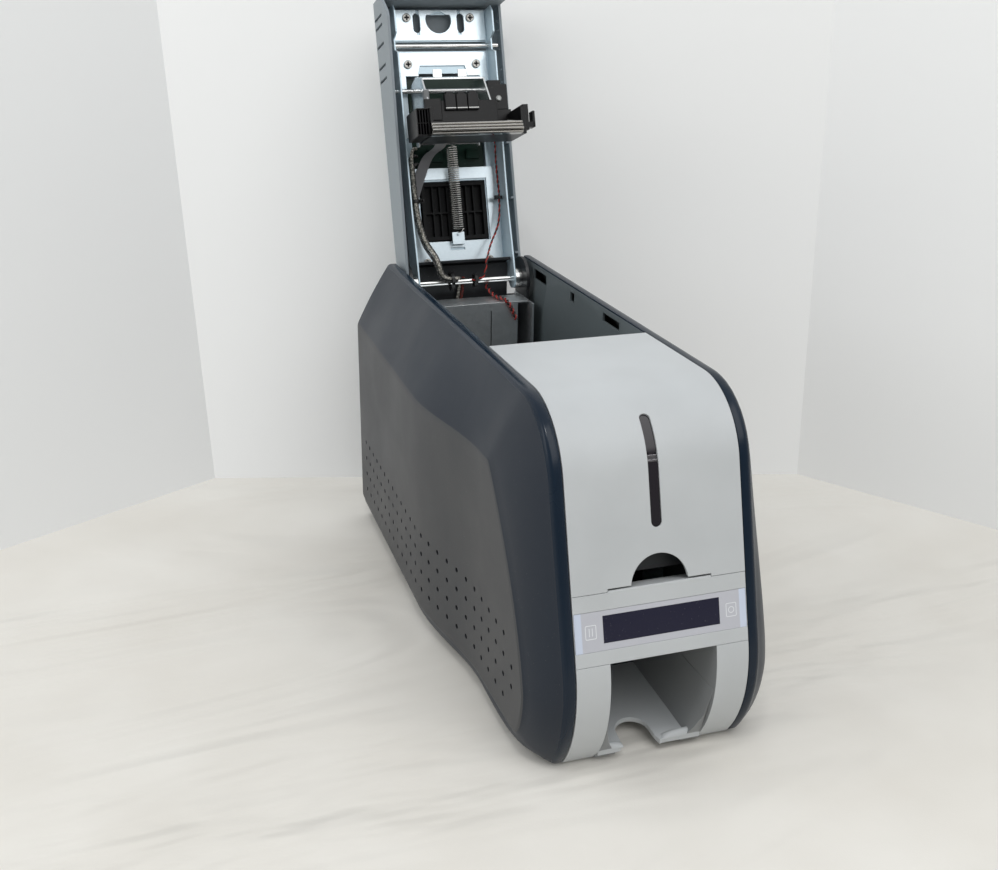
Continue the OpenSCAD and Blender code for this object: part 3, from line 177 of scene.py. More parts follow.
bm = bmesh.new()
posts = [(Vector((x, y, 0)), Vector((x + lean_x, y + lean_y, WALL_HEIGHT)))
         for (x, y), (lean_x, lean_y) in zip(WALL_FEET, WALL_LEANS)]
for (foot, head), (next_foot, next_head) in zip(posts, posts[1:]):
    rows = [[bm.verts.new(foot.lerp(head, t).lerp(next_foot.lerp(next_head, t), s))
             for s in (k / BOARD_STEPS for k in range(BOARD_STEPS + 1))]
            for t in (k / BOARD_STEPS for k in range(BOARD_STEPS + 1))]
    for low, high in zip(rows, rows[1:]):
        for k in range(BOARD_STEPS):
            bm.faces.new((low[k], low[k + 1], high[k + 1], high[k])).smooth = True
walls = new_object("walls", bm, board)
walls.visible_diffuse = False
walls.visible_shadow = False

world = bpy.data.worlds.new("room light")
world.use_nodes = True
tree = world.node_tree
# The room is darker behind the camera than over and beside the printer
place = add_node(tree, "ShaderNodeTexCoord").outputs["Generated"]
across = add_node(tree, "ShaderNodeSeparateXYZ", Vector=place)
depth = add_node(tree, "ShaderNodeMapRange", {"interpolation_type": "SMOOTHSTEP"},
                 Value=across.outputs["Y"], From_Min=-1, From_Max=-0.1, To_Min=0.38, To_Max=1)
tree.links.new(depth.outputs[0], tree.nodes["Background"].inputs["Strength"])
tree.nodes["Background"].inputs["Color"].default_value = (0.76, 0.78, 0.79, 1)
bpy.context.scene.world = world

# Each lamp: name, place, power in watts and width
LAMPS = [("ceiling_light", (0.3, -1.1, 1.38), 9.8, 1.3), ("window_light", (-1.5, 0.0, 1.0), 6.4, 1.1),
         ("tube_light", (-0.38, -0.68, 1.62), 2.4, 0.18)]
for name, spot, power, width in LAMPS:
    lamp = bpy.data.objects.new(name, bpy.data.lights.new(name, "AREA"))
    lamp.data.energy = power
    lamp.data.size = width
    lamp.location = spot
    lamp.rotation_euler = (Vector((0, 0, 0.12)) - Vector(spot)).to_track_quat("-Z", "Y").to_euler()
    bpy.context.collection.objects.link(lamp)


# Side shells: two large dark blue mouldings. A rounded rim runs round the nose, a band slopes
# out from it to a soft crease, and the side below bulges in the middle, finely grained, with
# rows of small round dimples. One is made and mirrored for the other.
def make_group(name, inputs, outputs):
    """An empty shader group with number inputs, and outputs given as (name, socket kind)."""
    group = bpy.data.node_groups.new(name, "ShaderNodeTree")
    for label, value in inputs.items():
        socket = group.interface.new_socket(label, in_out="INPUT", socket_type="NodeSocketFloat")
        socket.default_value = value
    for label, kind in outputs:
        group.interface.new_socket(label, in_out="OUTPUT", socket_type="NodeSocket" + kind)
    return group, group.nodes.new("NodeGroupInput").outputs, group.nodes.new("NodeGroupOutput").inputs


def one_over(tree, size):
    """A texture's scale from the socket that gives its grain's size in metres."""
    scale = add_node(tree, "ShaderNodeMath", {"operation": "DIVIDE"})
    scale.inputs[0].default_value = 1
    tree.links.new(size, scale.inputs[1])
    return scale.outputs[0]


mould_grain, given, sent = make_group(
    "mould grain", {"Size": 0.0006, "Patch": 0.05},
    [("Height", "Float"), ("Patches", "Float"), ("Dust", "Float")])
place = add_node(mould_grain, "ShaderNodeTexCoord").outputs["Object"]
for label, socket, detail, low, high in (("Height", "Size", 2, 0, 1), ("Patches", "Patch", 4, 0.3, 0.7)):
    speckle = add_node(mould_grain, "ShaderNodeTexNoise", Vector=place,
                       Scale=one_over(mould_grain, given[socket]), Detail=detail)
    spread = add_node(mould_grain, "ShaderNodeMapRange", Value=speckle.outputs[0],
                      From_Min=low, From_Max=high)
    mould_grain.links.new(spread.outputs[0], sent[label])
specks = add_node(mould_grain, "ShaderNodeTexNoise", Vector=place, Scale=1400, Detail=1)
sparse = add_node(mould_grain, "ShaderNodeMapRange", Value=specks.outputs[0], From_Min=0.74, From_Max=0.8)
mould_grain.links.new(sparse.outputs[0], sent["Dust"])

# Soft edge: the rounded normal at edges, and a mask of the edges where a painted highlight goes.
soft_edge, given, sent = make_group(
    "soft edge", {"Radius": 0.0006}, [("Normal", "Vector"), ("Edge", "Float")])
rounded = add_node(soft_edge, "ShaderNodeBevel", {"samples": 6}, Radius=given["Radius"])
sharp = add_node(soft_edge, "ShaderNodeNewGeometry")
match = add_node(soft_edge, "ShaderNodeVectorMath", {"operation": "DOT_PRODUCT"})
soft_edge.links.new(rounded.outputs[0], match.inputs[0])
soft_edge.links.new(sharp.outputs["Normal"], match.inputs[1])
turned = add_node(soft_edge, "ShaderNodeMapRange", Value=match.outputs["Value"], From_Min=0.99, From_Max=0.8)
soft_edge.links.new(rounded.outputs[0], sent["Normal"])
soft_edge.links.new(turned.outputs[0], sent["Edge"])


def place_group(tree, group, **sockets):
    """A group's node in a material, with its values."""
    return add_node(tree, "ShaderNodeGroup", {"node_tree": group}, **sockets).outputs


def shade_of(colour, factor):
    """A colour made lighter or darker."""
    return tuple(min(1, part * factor) for part in colour)


def give_gloss(tree, shader, mask, least, most):
    """Roughness that goes from least to most with the mask."""
    gloss = add_node(tree, "ShaderNodeMapRange", Value=mask, To_Min=least, To_Max=most)
    tree.links.new(gloss.outputs[0], shader.inputs["Roughness"])


def moulded(name, colour, roughness, grain=0.0006, depth=0.00004, edge=0.0005, dust=0.25, coat=0.0,
            gleam=0.5):
    """Moulded plastic: fine grain, faint patches, soft edges painted a little lighter as a highlight, dust.
    """
    material, tree, shader = start_material(name, roughness, coat=coat)
    shader.inputs["Specular IOR Level"].default_value = gleam
    surface = place_group(tree, mould_grain, Size=grain)
    border = place_group(tree, soft_edge, Radius=edge)
    tint = blend_colour(tree, surface["Patches"], shade_of(colour, 0.95), shade_of(colour, 1.04))
    # Painted highlight: the soft edges are coloured a little lighter.
    tint = blend_colour(tree, border["Edge"], tint, shade_of(colour, 1.5), 0.25)
    tint = blend_colour(tree, surface["Dust"], tint, (0.55, 0.54, 0.52), dust)
    give_surface(tree, shader, tint, surface["Height"], 0.5, depth, Normal=border["Normal"])
    give_gloss(tree, shader, surface["Patches"], roughness - 0.05, roughness + 0.06)
    return material


# Millimetres from the body's middle, floor up, as the part's own drawing has them
BODY_L = 391
BACK_Y, NOSE_Y = BODY_L / 2, -BODY_L / 2
BODY_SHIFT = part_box("right_shell")[1].y * 1000 - BACK_Y
RIM_TOP, RIM_IN, RIM_OUT = 211, 53, 61
RAKE = math.radians(15)
CORNER_R, CHIN_R, CHIN_Z, FOOT_H = 50, 78, 52, 2.5
CHIN_Y, CORNER_Z = NOSE_Y + CHIN_R, RIM_TOP - CORNER_R
CORNER_Y = CHIN_Y + (math.sin(RAKE) * (CORNER_Z - CHIN_Z) - CHIN_R + CORNER_R) / math.cos(RAKE)
FLOOR_TURN = math.asin((CHIN_Z - FOOT_H) / CHIN_R)
CHIN_FLOOR_Y = CHIN_Y - CHIN_R * math.cos(FLOOR_TURN)
NOSE_HALF, WIDE_HALF, REAR_HALF = 77, 89.5, 85.5
BEND_START, BEND_END = -95, 8
CREASE_Y, CREASE_Z, CREASE_TOP, CREASE_FOOT = NOSE_Y + 22.5, 50, 165, 17
CREASE_LEAN, CREASE_BOW = 0.257, 0.00268
SHELL_WALL, SKIRT_T, SKIRT_LOW = 3.4, 1.8, 129
BEAD_R, CREASE_R = 4.0, 3.0
BAND_CROWN_NOSE, BAND_CROWN_REAR = 2.0, 0.8
# Along the top and the floor the band's lines run straight across from these places back
LEVEL_TOP_Y, LEVEL_FLOOR_Y = -60, -150


def metres(x, y, z):
    """A point of the drawing as a point of the frame."""
    return Vector((x, y + BODY_SHIFT, z)) / 1000


def clamp(value):
    return max(0.0, min(1.0, value))


def side_half(y):
    """Half width of the shell's side at y."""
    if y < CREASE_Y:
        return RIM_OUT + (NOSE_HALF - RIM_OUT) * (y - NOSE_Y) / (CREASE_Y - NOSE_Y)
    bend = clamp((y - BEND_START) / (BEND_END - BEND_START))
    taper = (WIDE_HALF - REAR_HALF) * max(0, y - BEND_END) / (BACK_Y - BEND_END)
    return NOSE_HALF + (WIDE_HALF - NOSE_HALF) * bend * bend * (3 - 2 * bend) - taper


def upper_crease(y):
    """Height of the crease over the side."""
    square = CREASE_LEAN ** 2 + 4 * CREASE_BOW * max(0, y - CREASE_Y)
    run = (math.sqrt(square) - CREASE_LEAN) / (2 * CREASE_BOW)
    return min(CREASE_TOP, CREASE_Z + run + 1.5 * clamp(run / 12))


def lower_crease(y):
    """Height of the crease under the side."""
    t = clamp((y - CREASE_Y) / 16)
    return CREASE_Z - (CREASE_Z - CREASE_FOOT) * math.sqrt(1 - (1 - t) ** 2)


def floor_half(y):
    """Half width of the shell's flat foot at y."""
    t = clamp((-130 - y) / 47)
    return RIM_IN + 1 + (side_half(y) - 6.5 - RIM_IN) * math.sqrt(1 - t * t)


def top_at(y):
    """Height of the body's outline over y."""
    if y > CORNER_Y:
        return RIM_TOP
    if y > CORNER_Y - CORNER_R * math.cos(RAKE):
        return CORNER_Z + math.sqrt(CORNER_R ** 2 - (y - CORNER_Y) ** 2)
    turn_y = CHIN_Y - CHIN_R * math.cos(RAKE)
    if y > turn_y:
        return CHIN_Z + CHIN_R * math.sin(RAKE) + (y - turn_y) / math.tan(RAKE)
    return CHIN_Z + math.sqrt(max(0, CHIN_R ** 2 - (y - CHIN_Y) ** 2))


def bottom_at(y):
    """Height of the body's lower outline at y."""
    return FOOT_H if y > CHIN_FLOOR_Y else CHIN_Z - math.sqrt(max(0, CHIN_R ** 2 - (y - CHIN_Y) ** 2))


def on_round(centre, radius, turn):
    """Point and inward direction on a rounded part of the outline."""
    out = Vector((math.cos(turn), math.sin(turn)))
    return Vector(centre) + radius * out, -out


def outline_up(s):
    """Point and inward direction, in Y and Z, s mm up and back along the outline from the nose."""
    if s < CHIN_R * RAKE:
        return on_round((CHIN_Y, CHIN_Z), CHIN_R, math.pi - s / CHIN_R)
    s -= CHIN_R * RAKE
    out = Vector((-math.cos(RAKE), math.sin(RAKE)))
    low = Vector((CHIN_Y, CHIN_Z)) + CHIN_R * out
    high = Vector((CORNER_Y, CORNER_Z)) + CORNER_R * out
    line = (high - low).length
    if s < line:
        return low + (high - low) * s / line, -out
    s -= line
    if s < CORNER_R * (math.pi / 2 - RAKE):
        return on_round((CORNER_Y, CORNER_Z), CORNER_R, math.pi - RAKE - s / CORNER_R)
    return Vector((CORNER_Y + s - CORNER_R * (math.pi / 2 - RAKE), RIM_TOP)), Vector((0, -1))


def outline_down(s):
    """Point and inward direction, s mm down and back along the outline from the nose."""
    if s < CHIN_R * FLOOR_TURN:
        return on_round((CHIN_Y, CHIN_Z), CHIN_R, math.pi + s / CHIN_R)
    return Vector((CHIN_FLOOR_Y + s - CHIN_R * FLOOR_TURN, FOOT_H)), Vector((0, 1))


def crease_lengths(height, ys):
    """Length of the crease from the nose to each y."""
    total, lengths = 0.0, [0.0]
    for y0, y1 in zip(ys, ys[1:]):
        total += math.hypot(y1 - y0, height(y1) - height(y0))
        lengths.append(total)
    return lengths


def strip_across(edge_x, rim, inward, crease, level_end, crown):
    """Points across rim, bead, band and crease at one station, in the drawing's millimetres."""
    def across(x, depth):
        return Vector((x, rim.x + inward.x * depth, rim.y + inward.y * depth))
    fall = max(0.1, (Vector((crease.y, crease.z)) - rim).dot(inward) - BEAD_R / 2)
    turn = min(math.radians(86), max(math.radians(35), math.atan2(fall, crease.x - edge_x + 1)))
    points = [across(RIM_IN, 1), across(RIM_IN + 0.3, 0.3), across(RIM_IN + 1, 0)]
    for k in range(7):
        a = turn * k / 6
        points.append(across(edge_x - BEAD_R + BEAD_R * math.sin(a), BEAD_R * (1 - math.cos(a))))
    start = points[-1]
    reach = (crease - start).length
    near = crease + (start - crease) * min(0.45, CREASE_R / reach)
    ruling = (near - start).normalized()
    proud = (Vector((1, 0, 0)) - ruling * ruling.x).normalized() * crown
    points += [start.lerp(near, k / 8) + proud * 4 * (k / 8) * (1 - k / 8) for k in range(1, 8)]
    for k in range(7):
        t = k / 6
        points.append(near * (1 - t) ** 2 + crease * 2 * t * (1 - t) + level_end * t * t)
    return points


CREASE_TABLE = 400
level_ys = [BACK_Y + (LEVEL_TOP_Y - BACK_Y) * k / 30 for k in range(30)]
nose_ys = [CREASE_Y + (LEVEL_TOP_Y - CREASE_Y) * (1 - math.sin(math.pi / 2 * k / 46)) for k in range(47)]
station_ys = level_ys + nose_ys
UP_TO_LEVEL = (CHIN_R * RAKE + (CORNER_Z - CHIN_Z - (CHIN_R - CORNER_R) * math.sin(RAKE)) / math.cos(RAKE)
               + CORNER_R * (math.pi / 2 - RAKE) + LEVEL_TOP_Y - CORNER_Y)
DOWN_TO_LEVEL = CHIN_R * FLOOR_TURN + LEVEL_FLOOR_Y - CHIN_FLOOR_Y


def outline_run(y, height, level_y, to_level):
    """How far along the outline from the nose the station at y takes its rim point."""
    if y >= level_y:
        return to_level + y - level_y
    fine = [CREASE_Y + (level_y - CREASE_Y) * (k / CREASE_TABLE) ** 2 for k in range(CREASE_TABLE + 1)]
    lengths = crease_lengths(height, fine)
    k = math.sqrt((y - CREASE_Y) / (level_y - CREASE_Y)) * CREASE_TABLE
    low = min(CREASE_TABLE - 1, int(k))
    return to_level * (lengths[low] + (lengths[low + 1] - lengths[low]) * (k - low)) / lengths[-1]


upper_strips, lower_strips = [], []
for y in station_ys:
    half = side_half(y)
    low, high = lower_crease(y), upper_crease(y)
    level = min(CREASE_R, 0.45 * (high - low))
    crown = BAND_CROWN_REAR + (BAND_CROWN_NOSE - BAND_CROWN_REAR) * clamp((LEVEL_TOP_Y - y) / 60)
    rim, inward = outline_up(outline_run(y, upper_crease, LEVEL_TOP_Y, UP_TO_LEVEL))
    upper_strips.append(strip_across(RIM_OUT, rim, inward, Vector((half, y, high)),
                                     Vector((half, y, high - level)), crown))
    rim, inward = outline_down(outline_run(y, lower_crease, LEVEL_FLOOR_Y, DOWN_TO_LEVEL))
    spread = floor_half(rim.x) - RIM_OUT
    edge_x = RIM_OUT + (spread + math.sqrt(spread ** 2 + 4)) / 2
    lower_strips.append(strip_across(edge_x, rim, inward, Vector((half, y, low)),
                                     Vector((half, y, low + level)), crown))

SIDE_ROWS = 12
# Where along a strip the bead ends, and where the crease lies
BEAD_POINT, CREASE_POINT = 9, 19
# Places of the finishes in SHELL_FINISHES
BAND, SIDE, RIM, INNER_WALL = 0, 1, 2, 4
bm = bmesh.new()
upper = [[bm.verts.new(metres(*point)) for point in strip] for strip in upper_strips]
lower = [[bm.verts.new(metres(*point)) for point in strip] for strip in lower_strips[:-1]] + [upper[-1]]
columns = []
for top, foot in zip(upper[:-1], lower[:-1]):
    inside = [bm.verts.new(top[-1].co.lerp(foot[-1].co, k / SIDE_ROWS)) for k in range(1, SIDE_ROWS)]
    columns.append([top[-1]] + inside + [foot[-1]])
columns.append([upper[-1][-1]] * (SIDE_ROWS + 1))
for rows in (upper, lower, columns):
    for near, far in zip(rows, rows[1:]):
        for k in range(len(near) - 1):
            corners = [near[k], near[k + 1], far[k + 1], far[k]]
            corners = [v for i, v in enumerate(corners) if v not in corners[:i]]
            if len(corners) > 2:
                face = bm.faces.new(corners)
                on_side = rows is columns or k >= CREASE_POINT
                face.material_index = SIDE if on_side else RIM if k < BEAD_POINT else BAND
bm.faces.new([row[0] for row in upper] + [row[0] for row in reversed(lower[:-1])]).material_index = INNER_WALL
bm.faces.new(upper[0] + columns[0][1:-1] + list(reversed(lower[0])))
bmesh.ops.recalc_face_normals(bm, faces=bm.faces)

navy = moulded("dark blue shell band", (0.014, 0.020, 0.031), 0.40, depth=0.00005, dust=0.12, gleam=0.3)
side_grain = moulded("grained shell side", (0.042, 0.044, 0.048), 0.52, grain=0.0009, depth=0.00012, dust=0.2)
rim_gloss = moulded("dark blue shell rim", (0.004, 0.012, 0.025), 0.22, depth=0.00001, dust=0.05, gleam=0.28)
# Painted shade: the dimples' hollows are coloured near black for the shade in them.
dimple_painted_shade = moulded("dimple shadow", (0.010, 0.012, 0.016), 0.7)
# Painted light: the shell's inside is the same moulding as the navy outside, coloured much lighter for the
# light on it.
shell_inside_painted_light = moulded("shell inside painted light", (0.118, 0.140, 0.148), 0.35, dust=0.2)
SHELL_FINISHES = (navy, side_grain, rim_gloss, dimple_painted_shade, shell_inside_painted_light)
right_shell = new_object("side_shell_right", bm, *SHELL_FINISHES)


def block(bm, low, high, finish=0):
    """Box between two corners of the drawing, added to a bmesh."""
    corner = [bm.verts.new(metres(x, y, z)) for x in (low[0], high[0]) for y in (low[1], high[1])
              for z in (low[2], high[2])]
    for face in ((0, 1, 3, 2), (4, 6, 7, 5), (0, 4, 5, 1), (2, 3, 7, 6), (0, 2, 6, 4), (1, 5, 7, 3)):
        bm.faces.new([corner[k] for k in face]).material_index = finish


def prism(bm, rings, finish=0):
    """Closed solid through rings of points of the drawing, added to a bmesh."""
    rings = [[bm.verts.new(metres(*point)) for point in ring] for ring in rings]
    faces = []
    for near, far in zip(rings, rings[1:]):
        for k in range(len(near)):
            n = (k + 1) % len(near)
            faces.append(bm.faces.new((near[k], near[n], far[n], far[k])))
    faces += [bm.faces.new(list(reversed(rings[0]))), bm.faces.new(rings[-1])]
    for face in faces:
        face.material_index = finish


def circle(a, b, radius, count):
    """Points of a circle round (a, b), in a plane of the drawing."""
    return [(a + radius * math.cos(math.tau * k / count), b + radius * math.sin(math.tau * k / count))
            for k in range(count)]


def cut(piece, cutters):
    """Takes each cutter's solid out of the piece, in turn, and leaves a plain mesh."""
    tools = []
    for number, (bm, material) in enumerate(cutters):
        bmesh.ops.recalc_face_normals(bm, faces=bm.faces)
        tool = new_object("cutter_%d" % number, bm, material)
        step = piece.modifiers.new("cut", "BOOLEAN")
        step.operation, step.solver, step.object = "DIFFERENCE", "EXACT", tool
        step.material_mode = "TRANSFER"
        tools.append(tool)
    bpy.context.view_layer.update()
    finished = bpy.data.meshes.new_from_object(piece.evaluated_get(bpy.context.evaluated_depsgraph_get()))
    piece.modifiers.clear()
    piece.data = finished
    for tool in tools:
        bpy.data.objects.remove(tool)


def reopened(piece):
    """A bmesh of a piece as it is, to work on."""
    bm = bmesh.new()
    bm.from_mesh(piece.data)
    return bm


def smooth(piece, angle=30):
    """Smooth faces, with edges sharper than the angle kept crisp."""
    bm = reopened(piece)
    for face in bm.faces:
        face.smooth = True
    for edge in bm.edges:
        edge.smooth = edge.calc_face_angle(0) < math.radians(angle)
    bm.to_mesh(piece.data)
    bm.free()


HOLLOW_FRONT = NOSE_Y + 18
hollow_ys = [HOLLOW_FRONT + (BACK_Y - 3 - HOLLOW_FRONT) * k / 40 for k in range(41)]


def skirt_foot(y):
    return min(SKIRT_LOW, top_at(y - 3) - SHELL_WALL - 12)


def hollow_ring(y):
    """Section of the shell's hollow at y."""
    q = y - 4
    floor = bottom_at(q) + SHELL_WALL
    inner = RIM_IN + SKIRT_T
    half = side_half(q) - SHELL_WALL
    return [(inner, y, top_at(q) - SHELL_WALL), (RIM_OUT - SHELL_WALL, y, top_at(q) - SHELL_WALL),
            (half, y, upper_crease(q) - 2), (half, y, lower_crease(q) + 1),
            (max(inner + 0.6, floor_half(q) - SHELL_WALL - 1), y, floor), (inner, y, floor)]


hollow = bmesh.new()
prism(hollow, [hollow_ring(y) for y in hollow_ys])
opening = bmesh.new()
foot_line = [(y, bottom_at(y - 4) + SHELL_WALL + 0.2) for y in hollow_ys[1:]]
skirt_line = [(y, skirt_foot(y)) for y in reversed(hollow_ys[1:])]
prism(opening, [[(x, y, z) for y, z in foot_line + skirt_line] for x in (RIM_IN - 1, RIM_IN + SKIRT_T + 0.4)])
# Clip windows in the skirt: start, end and lower edge
CLIP_WINDOWS = [(4, 32, 200), (85, 93, 199), (143, 171, 198)]
windows = bmesh.new()
for start, end, low in CLIP_WINDOWS:
    block(windows, (RIM_IN - 1, start, low), (RIM_IN + SKIRT_T + 0.4, end, RIM_TOP - 5))
# Dimples: four rows along the side, and two before the first column
DIMPLE_R, DIMPLE_DEPTH, DIMPLE_PITCH = 1.7, 1.1, 13.75
dimples = [(-141.8 + DIMPLE_PITCH * k, z) for k in range(24) for z in (31.4, 45.0, 58.4, 72.0)]
dimples += [(-156, 44.7), (-156, 57.5)]
dimple_holes = bmesh.new()
for y, z in dimples:
    x = side_half(y)
    prism(dimple_holes, [[(reach, *point) for point in circle(y, z, DIMPLE_R, 12)]
                         for reach in (x - DIMPLE_DEPTH, x + 2)])
cut(right_shell, [(hollow, shell_inside_painted_light), (opening, shell_inside_painted_light), (windows, shell_inside_painted_light),
                  (dimple_holes, dimple_painted_shade)])
smooth(right_shell)

bm = reopened(right_shell)
bmesh.ops.scale(bm, vec=(-1, 1, 1), verts=bm.verts)
bmesh.ops.reverse_faces(bm, faces=bm.faces)
left_shell = new_object("side_shell_left", bm, *SHELL_FINISHES)
for shell, node in ((right_shell, "right_shell"), (left_shell, "left_shell")):
    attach(shell, "chassis")
    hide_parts(node)


# Pan and feet: a zinc-plated steel pan lies on the shells' floor flanges. Four black rubber feet
# are under it.
rolled_sheet, given, sent = make_group(
    "rolled sheet", {"Streak": 0.002, "Spangle": 0.006},
    [("Height", "Float"), ("Streaks", "Float"), ("Bloom", "Float")])
place = add_node(rolled_sheet, "ShaderNodeTexCoord").outputs["Object"]
stretch = add_node(rolled_sheet, "ShaderNodeMapping", Vector=place, Scale=(1, 0.06, 1))
for label, socket, source, kind in (("Streaks", "Streak", stretch.outputs[0], "ShaderNodeTexNoise"),
                                    ("Bloom", "Spangle", place, "ShaderNodeTexVoronoi")):
    pattern = add_node(rolled_sheet, kind, Vector=source, Scale=one_over(rolled_sheet, given[socket]))
    rolled_sheet.links.new(pattern.outputs["Color"] if label == "Bloom" else pattern.outputs[0], sent[label])
    if label == "Streaks":
        rolled_sheet.links.new(pattern.outputs[0], sent["Height"])


def plated(name, colour, roughness, edge=0.0003, depth=0.00002, bloom=0.5, metal=1.0, cloud=0.08):
    """Zinc-plated or drawn metal: faint streaks of the roll, cloudy patches, edges painted bright as a
    highlight.
    """
    material, tree, shader = start_material(name, roughness, metallic=metal)
    surface = place_group(tree, rolled_sheet)
    border = place_group(tree, soft_edge, Radius=edge)
    tint = blend_colour(tree, surface["Streaks"], shade_of(colour, 0.92), shade_of(colour, 1.06))
    tint = blend_colour(tree, surface["Bloom"], tint, shade_of(colour, 0.88), bloom)
    # Painted highlight: the edges are coloured brighter.
    tint = blend_colour(tree, border["Edge"], tint, shade_of(colour, 1.25), 0.6)
    give_surface(tree, shader, tint, surface["Height"], 0.4, depth, Normal=border["Normal"])
    give_gloss(tree, shader, surface["Streaks"], roughness - cloud, roughness + cloud)
    return material


def dress(material, *names):
    """Gives CAD nodes their finish."""
    for name in names:
        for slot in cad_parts[name].material_slots:
            slot.material = material


dress(plated("pan sheet", (0.55, 0.58, 0.60), 0.38), "base_pan")
dress(moulded("foot rubber", (0.03, 0.03, 0.03), 0.8, grain=0.0003), "rubber_feet")

# Rear panel: a black moulding with vent slots, the power inlet, two data sockets, and a rocker
# switch in its frame.
panel_black = moulded("black moulding", (0.022, 0.024, 0.027), 0.45)
dress(panel_black, "rear_panel")
dress(moulded("socket plastic", (0.012, 0.012, 0.013), 0.4), "power_inlet", "switch_frame")
dress(moulded("rocker gloss", (0.010, 0.010, 0.011), 0.25, depth=0.00001, coat=0.4), "power_rocker")
dress(plated("socket tin", (0.75, 0.75, 0.74), 0.25), "data_ports")

# Inner frame: two zinc-plated side plates carry every shaft. At the back a folded ledge stands
# between them under the hinge rod, with black blocks and bright bushes at the rod's ends.
zinc = plated("plate zinc", (0.82, 0.86, 0.88), 0.42)
dress(zinc, "left_side_plate", "right_side_plate", "hinge_ledge", "ribbon_bracket")
ground = plated("ground steel", (0.72, 0.72, 0.71), 0.18, bloom=0.1)
dress(ground, "hinge_rod", "hinge_bushes", "cross_rod", "head_shaft")
dress(moulded("hinge plastic", (0.016, 0.017, 0.019), 0.38), "hinge_blocks")

# Card path: black mouldings that hold the card stack and guide each card to the back. A loose
# plate lies on the stack and weighs it down.
dress(panel_black, "feeder_tray", "hopper_bulkhead", "card_track")
dress(moulded("pusher plastic", (0.030, 0.032, 0.035), 0.5), "card_pusher")

# Drive: ground rubber rollers on steel shafts, toothed belts from the drive motor, a motor and
# plastic gears for the ribbon's take-up hub, and two green circuit boards.
dress(moulded("roller rubber", (0.045, 0.045, 0.048), 0.75), "pickup_roller", "front_drive_roller",
      "platen_roller", "rear_drive_roller")
dress(moulded("cleaning rubber", (0.07, 0.20, 0.42), 0.35, depth=0.00001), "cleaning_roller")
dress(moulded("belt rubber", (0.020, 0.020, 0.020), 0.7), "drive_belt", "motor_belt")
dress(plated("motor can", (0.42, 0.43, 0.45), 0.40), "drive_motor", "ribbon_motor")
dress(plated("turned pulley", (0.72, 0.72, 0.73), 0.28), "motor_pulley")
dress(moulded("gear acetal", (0.72, 0.71, 0.66), 0.42), "supply_hub", "takeup_hub", "ribbon_pinion")
dress(moulded("board green", (0.02, 0.14, 0.07), 0.3, coat=0.3), "main_board", "display_board")

# Front: the output hopper under the display bezel, and the hopper cover over it, all moulded in
# a fine matt silver grey that follows the body's side outline.
SILVER_GREY = (0.515, 0.535, 0.545)
STRIP_HALF = RIM_IN - 0.3
COVER_LOW, COVER_BACK, COVER_WALL = 111.6, -37.6, 2.5
STEP_HALF, STEP_HIGH = 31.5, 1.6
NOTCH_R, NOTCH_Z = 17.5, 111.1
SLOT_HALF, SLOT_LOW, SLOT_TOP = 3.25, 142.6, 200
grey = moulded("silver grey plastic", SILVER_GREY, 0.46, grain=0.0005, depth=0.00003, dust=0.1)


def outline_at(s):
    """Point and inward direction of the outline, s mm from the nose: up if positive, or down."""
    return outline_up(s) if s > 0 else outline_down(-s)


def run_at(z):
    """How far along the outline from the nose the height z lies."""
    low, high = -CHIN_R * FLOOR_TURN, UP_TO_LEVEL
    for _ in range(40):
        middle = (low + high) / 2
        if outline_at(middle)[0].y < z:
            low = middle
        else:
            high = middle
    return low


def rind(bm, depths, xs, runs, steps=40):
    """Part of the body's skin between two depths, two sides and two places along the outline."""
    rings = []
    for k in range(steps + 1):
        rim, inward = outline_at(runs[0] + (runs[1] - runs[0]) * k / steps)
        near, far = rim + inward * depths[0], rim + inward * depths[1]
        rings.append([(xs[0], *near), (xs[1], *near), (xs[1], *far), (xs[0], *far)])
    prism(bm, rings)


CAPSULE_STEPS = 48


def capsule_solid(half, runs, depths):
    """Round-ended strip along the outline, as a solid to cut with or to fill with."""
    bm, rings = bmesh.new(), []
    for k in range(CAPSULE_STEPS + 1):
        run = runs[0] + (runs[1] - runs[0]) * (1 - math.cos(math.pi * k / CAPSULE_STEPS)) / 2
        end = min(run - runs[0], runs[1] - run)
        wide = half if end >= half else math.sqrt(max(0.02, half ** 2 - (half - end) ** 2))
        rim, inward = outline_at(run)
        near, far = rim + inward * depths[0], rim + inward * depths[1]
        rings.append([(-wide, *near), (wide, *near), (wide, *far), (-wide, *far)])
    prism(bm, rings)
    return bm


def between(low, high):
    """Places along the outline of two heights."""
    return run_at(low), run_at(high)


def centred(half):
    return -half, half


SHARP_ANGLE = math.radians(35)


def bevelled(piece, width, segments=2):
    """Rounds the piece's sharp edges, by a width in millimetres."""
    step = piece.modifiers.new("soft edges", "BEVEL")
    step.width, step.segments, step.limit_method = width / 1000, segments, "ANGLE"
    step.angle_limit = SHARP_ANGLE
    step.harden_normals = True


def put_back(bm, piece, width, segments=2):
    """Writes solids into their piece, faces outward, with smooth faces and rounded edges."""
    bmesh.ops.recalc_face_normals(bm, faces=bm.faces)
    bm.to_mesh(piece.data)
    bm.free()
    smooth(piece)
    bevelled(piece, width, segments)


def fit_in_place(piece, body, slot, *nodes):
    """Makes a finished piece ride on its body and stand for its CAD nodes."""
    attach(piece, body)
    if nodes:
        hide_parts(*nodes)


